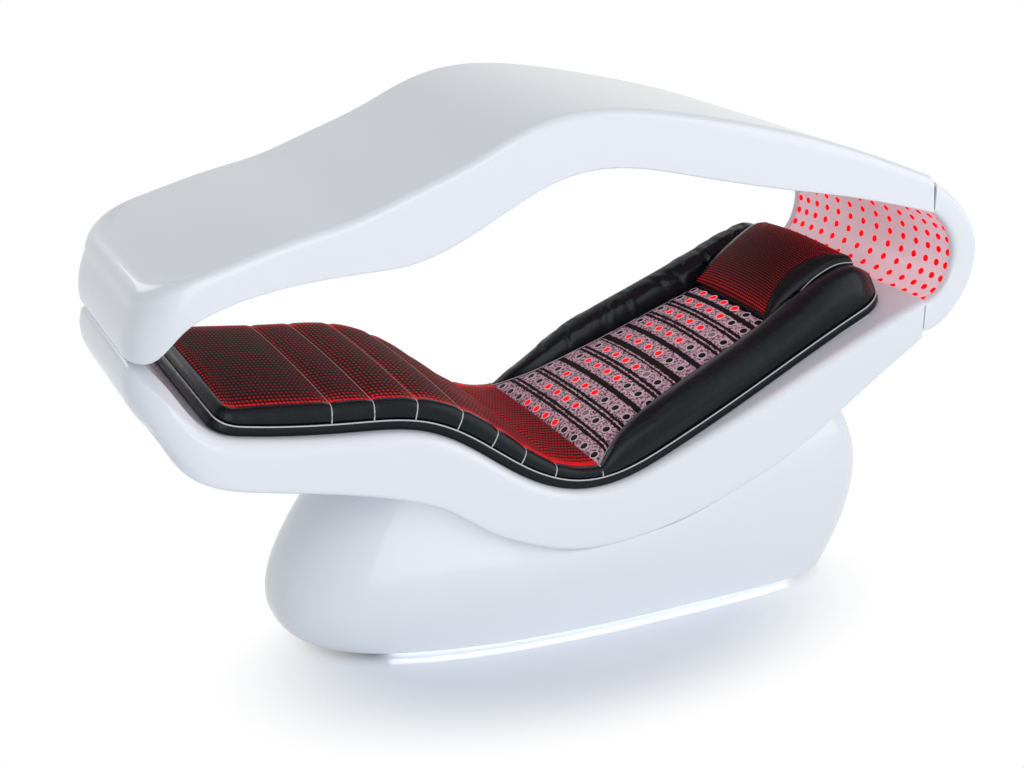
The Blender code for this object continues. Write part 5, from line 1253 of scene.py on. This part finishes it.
def swell(piece, pinned, pressure, cap, slack):
    """Let a cushion swell under pressure as cloth, seams held, no point moving further than the cap."""
    group = piece.vertex_groups.new(name="sewn")
    group.add(pinned, 1.0, "REPLACE")
    cloth = piece.modifiers.new("swell", "CLOTH")
    cloth.settings.quality = CLOTH_QUALITY
    cloth.settings.use_pressure = True
    cloth.settings.uniform_pressure_force = pressure
    cloth.settings.vertex_group_mass = group.name
    cloth.settings.shrink_min = -slack
    cloth.settings.effector_weights.gravity = 0.0
    cloth.collision_settings.use_collision = False
    scene = bpy.context.scene
    for number in range(1, CLOTH_FRAMES + 1):
        scene.frame_set(number)
    graph = bpy.context.evaluated_depsgraph_get()
    moved = np.empty(len(piece.data.vertices) * 3)
    rest = np.empty_like(moved)
    piece.evaluated_get(graph).data.vertices.foreach_get("co", moved)
    piece.modifiers.remove(cloth)
    scene.frame_set(1)
    piece.data.vertices.foreach_get("co", rest)
    step = (moved - rest).reshape(-1, 3)
    reach = np.linalg.norm(step, axis=1)[:, None]
    step *= np.minimum(1.0, cap / np.maximum(reach, 1e-9))
    piece.data.vertices.foreach_set("co", (rest.reshape(-1, 3) + step).ravel())
    piece.data.update()


def numbers(verts):
    """The indices of bmesh points."""
    return [v.index for v in verts]


def sew(name, bm, finishes, held, pressure, cap, slack=0.0):
    """A cushion cover from a bmesh, swollen with the held points pinned."""
    bm.verts.index_update()
    bmesh.ops.recalc_face_normals(bm, faces=bm.faces)
    pinned = sorted(numbers(held))
    piece = make_piece(name, bm, *finishes)
    swell(piece, pinned, pressure, cap, slack)
    return piece


def pack(piece, node):
    """Refine a cushion cover by one level and let it stand for its CAD node."""
    smooth = piece.modifiers.new("refine", "SUBSURF")
    smooth.levels = smooth.render_levels = 1
    settle(piece, SOFT_SHARP_DEG)
    hold(piece, (node,))


def make_base_pad():
    """The thin leather-edged pad under the whole set of cushions; returns its edge for the piping."""
    stations = spaced(PAD_FOOT_X + PAD_FOOT_ROUNDING, PAD_HEAD_X - PAD_HEAD_ROUNDING,
                      step=BASE_PAD_STEP)
    pad = Pad(stations, pad_half, BASE_PAD_ACROSS, PAD_FOOT_ROUNDING, PAD_HEAD_ROUNDING)
    for inset, height in BASE_PAD_PROFILE:
        pad.add_loop(inset, height)
    pad.fill(0, TOUCH_GAP)
    pad.fill(-1, BASE_PAD)
    bmesh.ops.recalc_face_normals(pad.bm, faces=pad.bm.faces)
    edge = [v.co.copy() for v in pad.loops[-2]]
    piece = make_piece("base_pad", pad.bm, "black_leather")
    hold(piece, ("cushion_base",))
    return edge


def leg_half(x):
    """Half the width of the leg pad at x."""
    return pad_half(x) - PIPING_SETBACK


def leg_light(x, y):
    """The share of light through the leg pad: more at the edges, along the seams and at the seat."""
    edge = fading(*LEG_GLOW_EDGE, leg_half(x) - LEG_BORDER - abs(y))
    seam = fading(*LEG_GLOW_SEAM, min([x - s for s in LEG_SEAMS if s <= x] or [1.0]))
    foot = fading(*LEG_GLOW_FOOT, x - PAD_FOOT_X - END_SHARE * LEG_BORDER)
    grown = growing(*LEG_GLOW_LEGS, x) + growing(*LEG_GLOW_SEAT, x)
    return float(np.clip(LEG_GLOW + edge + seam + foot + grown, 0.0, 1.0))


def make_leg_pad(sizes):
    """The leg and seat pad: a mesh top in sewn channels and a leather border; returns its seam lines."""
    heights = Table(LEG_HEIGHTS)
    channel = CHANNEL_SHARE * sizes.channel_width

    def drawn_height(x):
        nearest = min(abs(x - seam) for seam in LEG_SEAMS)
        return heights(x) - sizes.channel_depth * math.exp(-(nearest / channel) ** 2)

    def top(x, y):
        return crowned(COVER_LOW + drawn_height(x), LEG_CROWN, abs(y) / (leg_half(x) - LEG_BORDER))

    stations = spaced(PAD_FOOT_X + PIPING_SETBACK + PAD_FOOT_ROUNDING, LEG_HEAD_X, LEG_SEAMS)
    pad = Pad(stations, leg_half, LEG_ACROSS, PAD_FOOT_ROUNDING)
    for turn in np.radians(np.linspace(0, 90, LEG_LOOPS - 1)):
        inset = LEG_BORDER * (1 - math.cos(turn) ** LEG_BORDER_POWERS[0])
        rise = math.sin(turn) ** LEG_BORDER_POWERS[1]
        pad.add_loop(inset, lambda x, y: COVER_LOW + rise * drawn_height(x), index=1)
    pad.add_loop(LEG_BORDER + LEG_TOP_INSET, lambda x, y: top(x, y) - LEG_TOP_DROP, leg_light)
    rows = pad.fill(-1, top, leg_light)
    pad.fill(0, COVER_LOW, index=1)
    seams = {x: pad.section(rows, x) for x in (*LEG_SEAMS, LEG_HEAD_X)}
    held = set(pad.bm.verts) - set(sum(pad.loops[1:] + rows, []))
    held.update(pad.loops[-2], *seams.values())
    pad.bm.verts.index_update()
    seams = {x: numbers(line) for x, line in seams.items()}
    piece = sew("leg_pad_cover", pad.bm, ("spacer_mesh", "black_leather"), held, *LEG_SWELL)
    lines = {x: [piece.data.vertices[i].co - SHIFT for i in line] for x, line in seams.items()}
    pack(piece, "leg_pad")
    return lines


def make_back_pad(sizes):
    """The back pad: a crowned knit panel between the bolsters, with its rows of eyelets and lamps."""
    heights = Table(BACK_HEIGHTS)

    def top(x, y):
        return crowned(MAT_TOP + heights(x), BACK_CROWN, abs(y) / (back_half(x) - BACK_SHOULDER))

    pad = Pad(spaced(BACK_START_X, BACK_HEAD_X), back_half, BACK_ACROSS)
    for share, rise in BACK_PROFILE:
        pad.add_loop(BACK_SHOULDER * share, lambda x, y: MAT_TOP + rise * heights(x))
    rows = pad.fill(-1, top)
    pad.fill(0, MAT_TOP)
    held = set(pad.bm.verts) - set(sum(rows[2:-2], []))
    piece = sew("back_pad_cover", pad.bm, ("striped_knit",), held, *BACK_SWELL)
    pack(piece, "back_pad")
    make_back_lamps(piece, sizes)


def make_back_lamps(piece, sizes):
    """Eyelet rings and lamps set into the knit, each where its row and column meet the panel."""
    tree = BVHTree.FromPolygons([v.co for v in piece.data.vertices],
                                [p.vertices[:] for p in piece.data.polygons])
    names = {"silicone_eyelet": "back_eyelets", "lit_lens": "back_lamps_lit",
             "unlit_lens": "back_lamps_unlit", "grey_lens": "back_lamps_dimmed"}
    meshes = {finish: bmesh.new() for finish in names}
    for row, x in enumerate(BACK_ROWS_X):
        out = DECK.normal(x)
        for column in range(BACK_COLUMNS):
            y = ((BACK_COLUMNS - 1) / 2 - column) * sizes.column_pitch
            if abs(y) > back_half(x) - sizes.eyelet / 2:
                continue
            spot, normal = tree.ray_cast(DECK.place(x, y, ABOVE_BACK) + SHIFT, -out)[:2]
            if spot is None:
                continue
            spot = spot - SHIFT
            normal = normal if normal.dot(out) > 0 else -normal
            lens = "lit_lens" if column in LIT_COLUMNS else "unlit_lens"
            if (row, column) in GREY_LAMPS:
                lens = "grey_lens"
            add_lens(meshes[lens], spot, normal, sizes.back_lamp / 2, BACK_LAMP_HEIGHT)
            add_ring(meshes["silicone_eyelet"], spot, normal, sizes.eyelet / 2,
                     sizes.back_lamp / 2 - EYELET_LAP, EYELET_HEIGHT)
    for finish, bm in meshes.items():
        hold(make_piece(names[finish], bm, finish))


def head_half(x):
    """Half the width of the cushion set at x, with its rounded head corners."""
    into = max(0.0, x - (PAD_HEAD_X - PAD_HEAD_ROUNDING))
    return pad_half(x) + math.sqrt(PAD_HEAD_ROUNDING ** 2 - into ** 2) - PAD_HEAD_ROUNDING


def bolster_folds(word, side):
    """The creases of a bolster: each one's place along x, depth and lean."""
    draw = random.Random(FOLD_SEED + side)
    spots = np.cumsum([draw.uniform(*FOLD_SPACING) for _ in range(FOLD_COUNT)]) + FOLD_START_X
    depths = [draw.uniform(*FOLD_DEPTHS) * FOLD_SHARE[word] * np.interp(spot, *FOLD_GROWS)
              for spot in spots]
    leans = [draw.uniform(-FOLD_LEAN, FOLD_LEAN) for _ in spots]
    return list(zip(spots, depths, leans))


def fold_push(folds, x, cosine, rise):
    """How far the creases draw in a point of a bolster; there are none on its outer face."""
    edge, run = FOLD_EDGE
    if cosine >= edge:
        return 0.0
    push = 0.0
    for spot, depth, lean in folds:
        past = (x - spot - lean * cosine) / FOLD_WIDTH
        push += depth * (math.exp(-past ** 2) - FOLD_RIDGE[0] * math.exp(-(past - FOLD_RIDGE[1]) ** 2))
    return push * rise ** 0.5 * min(1.0, (edge - cosine) / run)


def make_bolsters():
    """The two side bolsters: full leather rolls that taper to the seat and round off at the head."""
    heights = Table(BOLSTER_HEIGHTS)
    for word, side in (("left", -1), ("right", 1)):
        settled = Table(BOLSTER_SETTLED[word])
        folds = bolster_folds(word, side)
        rings = []
        for x in spaced(BACK_START_X, BOLSTER_HEAD_X, step=BOLSTER_STEP):
            inner, outer = inner_half(x) + SOFT_GAP, head_half(x) - PIPING_SETBACK
            height = heights(x) + settled(x)
            middle, reach = (inner + outer) / 2, (outer - inner) / 2
            square = np.interp(x, *BOLSTER_SQUARE)
            ring = []
            for turn in np.linspace(0.0, math.pi, BOLSTER_AROUND + 1):
                cosine = math.cos(turn)
                power = BOLSTER_OUTER_POWER if cosine > 0 else square
                bow = math.copysign(abs(cosine) ** power, cosine)
                rise = max(0.0, math.sin(turn)) ** BOLSTER_RISE_POWER
                drawn = fold_push(folds, x, cosine, rise) / max(height, FOLD_LEAST_HEIGHT)
                ring.append((middle + reach * bow * (1 - FOLD_DRAWS_IN * drawn),
                             COVER_LOW + height * rise * (1 - drawn)))
            under = np.linspace(ring[-1][0], ring[0][0], BOLSTER_UNDER + 1)[1:-1]
            ring += [(y, COVER_LOW) for y in under]
            rings.append([DECK.place(x, side * y, h) for y, h in ring])
        bm = bmesh.new()
        verts = skin(bm, rings, closed=True)
        make_end(bm, verts[0], -1)
        make_end(bm, verts[-1], 1)
        held = sum([ring[BOLSTER_AROUND - 1:] + ring[:2] for ring in verts], [])
        piece = sew("bolster_cover_" + word, bm, ("black_leather",), held, *BOLSTER_SWELL,
                    BOLSTER_SLACK * FOLD_SHARE[word])
        pack(piece, "bolster_" + word)


def make_end(bm, ring, way):
    """A rounded end for a roll: smaller rings that close on its middle."""
    middle = sum((v.co for v in ring), Vector()) / len(ring)
    middle.z = (min(v.co.z for v in ring) + middle.z) / 2
    last = ring
    for size, reach in BOLSTER_END_RINGS:
        out = Vector((way * BOLSTER_END * reach, 0.0, 0.0))
        row = [bm.verts.new(middle + (v.co - middle) * size + out) for v in ring]
        bridge(bm, last, row, closed=True)
        last = row
    bm.faces.new(last)


def make_pillow(sizes):
    """The headrest pillow: ribbed mesh over its crown, leather shoulders and piping along them."""
    heights, shoulder, seam = Table(PILLOW_HEIGHTS), Table(PILLOW_SHOULDERS), Table(PILLOW_PIPING)

    def half(x):
        return inner_half(x) - SOFT_GAP

    def top(x, y):
        return crowned(COVER_LOW + heights(x), PILLOW_CROWN, abs(y) / (half(x) - shoulder(x)))

    def light(x, y):
        edge = fading(*PILLOW_GLOW_EDGE, half(x) - shoulder(x) - abs(y))
        seat = fading(*PILLOW_GLOW_SEAT, x - PILLOW_START_X)
        head = fading(*PILLOW_GLOW_HEAD, PILLOW_HEAD_X - x)
        return float(np.clip(PILLOW_GLOW + edge + seat + head, 0.0, 1.0))

    pad = Pad(spaced(PILLOW_START_X, PILLOW_HEAD_X), half, PILLOW_ACROSS)
    for share, rise in PILLOW_PROFILE:
        pad.add_loop(lambda x: share * shoulder(x), lambda x, y: COVER_LOW + rise * heights(x), index=1)
    rows = pad.fill(-1, top, light)
    pad.fill(0, COVER_LOW, index=1)
    held = set(pad.bm.verts) - set(sum(rows[1:-1] + pad.loops[PILLOW_FREE_LOOP:], []))
    piece = sew("pillow_cover", pad.bm, ("ribbed_mesh", "black_leather"), held, *PILLOW_SWELL)
    pack(piece, "headrest_pillow")
    bm = bmesh.new()
    for side, sunk in PIPING_SUNK.items():
        line = [DECK.place(x, side * (half(x) + PIPING_PROUD), COVER_LOW + sunk * seam(x) * heights(x))
                for x in pad.stations]
        add_tube(bm, line, sizes.seam / 2)
    hold(make_piece("pillow_piping", bm, "vinyl_piping"))


def make_piping(edge, lines, sizes):
    """Piping round the base pad and beside the back panel, and cords in the seams of the leg pad."""
    finishes = {"edge_piping": "vinyl_piping", "back_piping": "vinyl_piping",
                "border_cords": "vinyl_piping", "leg_seam_cords": "seam_thread",
                "seat_seam_cords": "dark_thread"}
    cords = {name: bmesh.new() for name in finishes}
    radius = sizes.seam / 2
    add_tube(cords["edge_piping"], edge, sizes.piping / 2, closed=True)
    heights = Table(BACK_HEIGHTS)
    for side in (-1, 1):
        row = [DECK.place(x, side * (back_half(x) - BACK_PIPING_SUNK),
                          MAT_TOP + BACK_PIPING_RISE * heights(x))
               for x in spaced(BACK_START_X, BACK_HEAD_X)]
        add_tube(cords["back_piping"], row, radius, sides=CORD_SIDES)
    for number, (x, line) in enumerate(lines.items()):
        for part in (line[:LEG_LOOPS], line[-LEG_LOOPS:]):
            add_tube(cords["border_cords"], part, radius, sides=CORD_SIDES)
        name = "leg_seam_cords" if number < PALE_SEAMS else "seat_seam_cords"
        if x < LEG_HEAD_X:
            add_tube(cords[name], line[LEG_LOOPS - 1:1 - LEG_LOOPS], radius, sides=CORD_SIDES)
    for name, bm in cords.items():
        hold(make_piece(name, bm, finishes[name]))


def seen_ray(tree):
    """1 for a ray that comes from the camera, a reflection or a refraction."""
    path = add_node(tree, "LightPath", {}).outputs
    seen = add_node(tree, "Math", {0: path["Is Camera Ray"], 1: path["Is Glossy Ray"]},
                    operation="MAXIMUM")
    return add_node(tree, "Math", {0: seen, 1: path["Is Transmission Ray"]}, operation="MAXIMUM")


def sealed_floor(colours):
    """Sealed pale floor: shadow and a soft reflection near the base, fading to white around it."""
    tree, shader = new_material("sealed_floor", Base_Color=colours.floor, Roughness=0.05, IOR=1.45)
    place = add_node(tree, "TexCoord", {}).outputs["Object"]
    near = add_node(tree, "Mapping", {"Vector": place, "Location": (0.05, 0.50, 0.0),
                                      "Scale": (1 / 0.98, 1 / 0.56, 1.0)})
    away = add_node(tree, "VectorMath", {0: near}, operation="LENGTH").outputs["Value"]
    fade = add_node(tree, "MapRange", {"Value": away, "From Min": 0.45, "From Max": 1.0},
                    interpolation_type="SMOOTHSTEP")
    white = add_node(tree, "Emission", {"Color": WHITE, "Strength": 1.0})
    share = add_node(tree, "Math", {0: fade, 1: seen_ray(tree)}, operation="MULTIPLY")
    mix = add_node(tree, "MixShader", {0: share, 1: shader, 2: white})
    connect(tree, tree.nodes["Material Output"], {"Surface": mix})


def make_world():
    """Even light from all round, seen as plain white."""
    world = bpy.data.worlds.new("studio")
    world.use_nodes = True
    bpy.context.scene.world = world
    tree = world.node_tree
    light = tree.nodes["Background"]
    connect(tree, light, {"Color": ROOM_LIGHT, "Strength": ROOM_STRENGTH})
    white = add_node(tree, "Background", {"Color": WHITE, "Strength": 1.0})
    mix = add_node(tree, "MixShader", {0: seen_ray(tree), 1: light, 2: white})
    connect(tree, tree.nodes["World Output"], {"Surface": mix})


def make_stage(colours):
    """A pale floor that fades to white, soft studio lamps, a white surround and the camera."""
    scene = bpy.context.scene
    bm = bmesh.new()
    bmesh.ops.create_grid(bm, x_segments=1, y_segments=1, size=FLOOR_SIZE)
    mesh = bpy.data.meshes.new("floor")
    bm.to_mesh(mesh)
    bm.free()
    sealed_floor(colours)
    mesh.materials.append(bpy.data.materials["sealed_floor"])
    floor = bpy.data.objects.new("floor", mesh)
    scene.collection.objects.link(floor)
    make_world()
    for name, place, size, power in STUDIO_LAMPS:
        data = bpy.data.lights.new(name, "AREA")
        data.energy = power
        data.size = size
        lamp = bpy.data.objects.new(name, data)
        lamp.location = place
        lamp.rotation_euler = (LAMPS_FACE - Vector(place)).to_track_quat("-Z", "Y").to_euler()
        scene.collection.objects.link(lamp)
    camera = bpy.data.objects.new("camera", bpy.data.cameras.new("camera"))
    camera.location = CAMERA_PLACE
    camera.rotation_euler = [math.radians(angle) for angle in CAMERA_TURN_DEG]
    camera.data.sensor_width = CAMERA_SENSOR
    camera.data.lens = CAMERA_LENS
    scene.collection.objects.link(camera)
    scene.camera = camera
    scene.view_settings.view_transform = "Standard"


# Lines that the cushions leave for the piping
SEAMS = {}


class COUCH_OT_finishes(bpy.types.Operator):
    """Make every finish and give it to the CAD pieces that stay."""
    bl_idname = "couch.finishes"
    bl_label = "Finishes"

    def execute(self, context):
        colours = context.scene.couch_colours
        leather(colours)
        spacer_mesh(colours, context.scene.couch_sizes)
        ribbed_mesh(colours)
        striped_knit(colours)
        lit_lens(colours)
        mottled_finishes(colours)
        for finish, nodes in CARRIED.items():
            for node in nodes:
                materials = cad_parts[node].data.materials
                materials.clear()
                materials.append(bpy.data.materials[finish])
        return {"FINISHED"}


class COUCH_OT_shells(bpy.types.Operator):
    """Make the four white mouldings: tray, canopy, hood and base."""
    bl_idname = "couch.shells"
    bl_label = "Shells"

    def execute(self, context):
        make_tray()
        make_canopy()
        make_hood()
        make_base()
        return {"FINISHED"}


class COUCH_OT_lamps(bpy.types.Operator):
    """Make the lamp sheets of the hood and the canopy."""
    bl_idname = "couch.lamps"
    bl_label = "Lamps"

    def execute(self, context):
        make_hood_lamps(context.scene.couch_sizes)
        make_canopy_lamps(context.scene.couch_sizes)
        return {"FINISHED"}


class COUCH_OT_base_pad(bpy.types.Operator):
    """Make the base pad and keep its edge for the piping."""
    bl_idname = "couch.base_pad"
    bl_label = "Base pad"

    def execute(self, context):
        SEAMS["edge"] = make_base_pad()
        return {"FINISHED"}


class COUCH_OT_leg_pad(bpy.types.Operator):
    """Make the leg and seat pad and keep its seams for the cords."""
    bl_idname = "couch.leg_pad"
    bl_label = "Leg pad"

    def execute(self, context):
        SEAMS["legs"] = make_leg_pad(context.scene.couch_sizes)
        return {"FINISHED"}


class COUCH_OT_back_pad(bpy.types.Operator):
    """Make the back pad with its eyelets and lamps."""
    bl_idname = "couch.back_pad"
    bl_label = "Back pad"

    def execute(self, context):
        make_back_pad(context.scene.couch_sizes)
        return {"FINISHED"}


class COUCH_OT_bolsters(bpy.types.Operator):
    """Make the two bolsters."""
    bl_idname = "couch.bolsters"
    bl_label = "Bolsters"

    def execute(self, context):
        make_bolsters()
        return {"FINISHED"}


class COUCH_OT_pillow(bpy.types.Operator):
    """Make the headrest pillow."""
    bl_idname = "couch.pillow"
    bl_label = "Pillow"

    def execute(self, context):
        make_pillow(context.scene.couch_sizes)
        return {"FINISHED"}


class COUCH_OT_piping(bpy.types.Operator):
    """Make the piping and the seam cords along the kept seams."""
    bl_idname = "couch.piping"
    bl_label = "Piping"

    def execute(self, context):
        make_piping(SEAMS["edge"], SEAMS["legs"], context.scene.couch_sizes)
        return {"FINISHED"}


class COUCH_OT_stage(bpy.types.Operator):
    """Make the floor, the studio lamps and the camera."""
    bl_idname = "couch.stage"
    bl_label = "Stage"

    def execute(self, context):
        make_stage(context.scene.couch_colours)
        return {"FINISHED"}


STEPS = (COUCH_OT_finishes, COUCH_OT_shells, COUCH_OT_lamps, COUCH_OT_base_pad, COUCH_OT_leg_pad,
         COUCH_OT_back_pad, COUCH_OT_bolsters, COUCH_OT_pillow, COUCH_OT_piping, COUCH_OT_stage)


class COUCH_PT_panel(bpy.types.Panel):
    """The couch's sizes, colours and making steps."""
    bl_label = "Red light couch"
    bl_space_type = "VIEW_3D"
    bl_region_type = "UI"
    bl_category = "Couch"

    def draw(self, context):
        for group in (context.scene.couch_colours, context.scene.couch_sizes):
            column = self.layout.column()
            for name in group.__annotations__:
                column.prop(group, name)
        for step in STEPS:
            self.layout.operator(step.bl_idname)


CLASSES = (CouchColours, CouchSizes, *STEPS, COUCH_PT_panel)


def register():
    """Register the classes and hang the settings on the scene."""
    for kind in CLASSES:
        bpy.utils.register_class(kind)
    bpy.types.Scene.couch_colours = PointerProperty(type=CouchColours)
    bpy.types.Scene.couch_sizes = PointerProperty(type=CouchSizes)


def unregister():
    """Take the settings and the classes away."""
    del bpy.types.Scene.couch_sizes
    del bpy.types.Scene.couch_colours
    for kind in reversed(CLASSES):
        bpy.utils.unregister_class(kind)


def main():
    """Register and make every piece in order."""
    register()
    bpy.ops.couch.finishes()
    bpy.ops.couch.shells()
    bpy.ops.couch.lamps()
    bpy.ops.couch.base_pad()
    bpy.ops.couch.leg_pad()
    bpy.ops.couch.back_pad()
    bpy.ops.couch.bolsters()
    bpy.ops.couch.pillow()
    bpy.ops.couch.piping()
    bpy.ops.couch.stage()


if __name__ == "__main__":
    main()
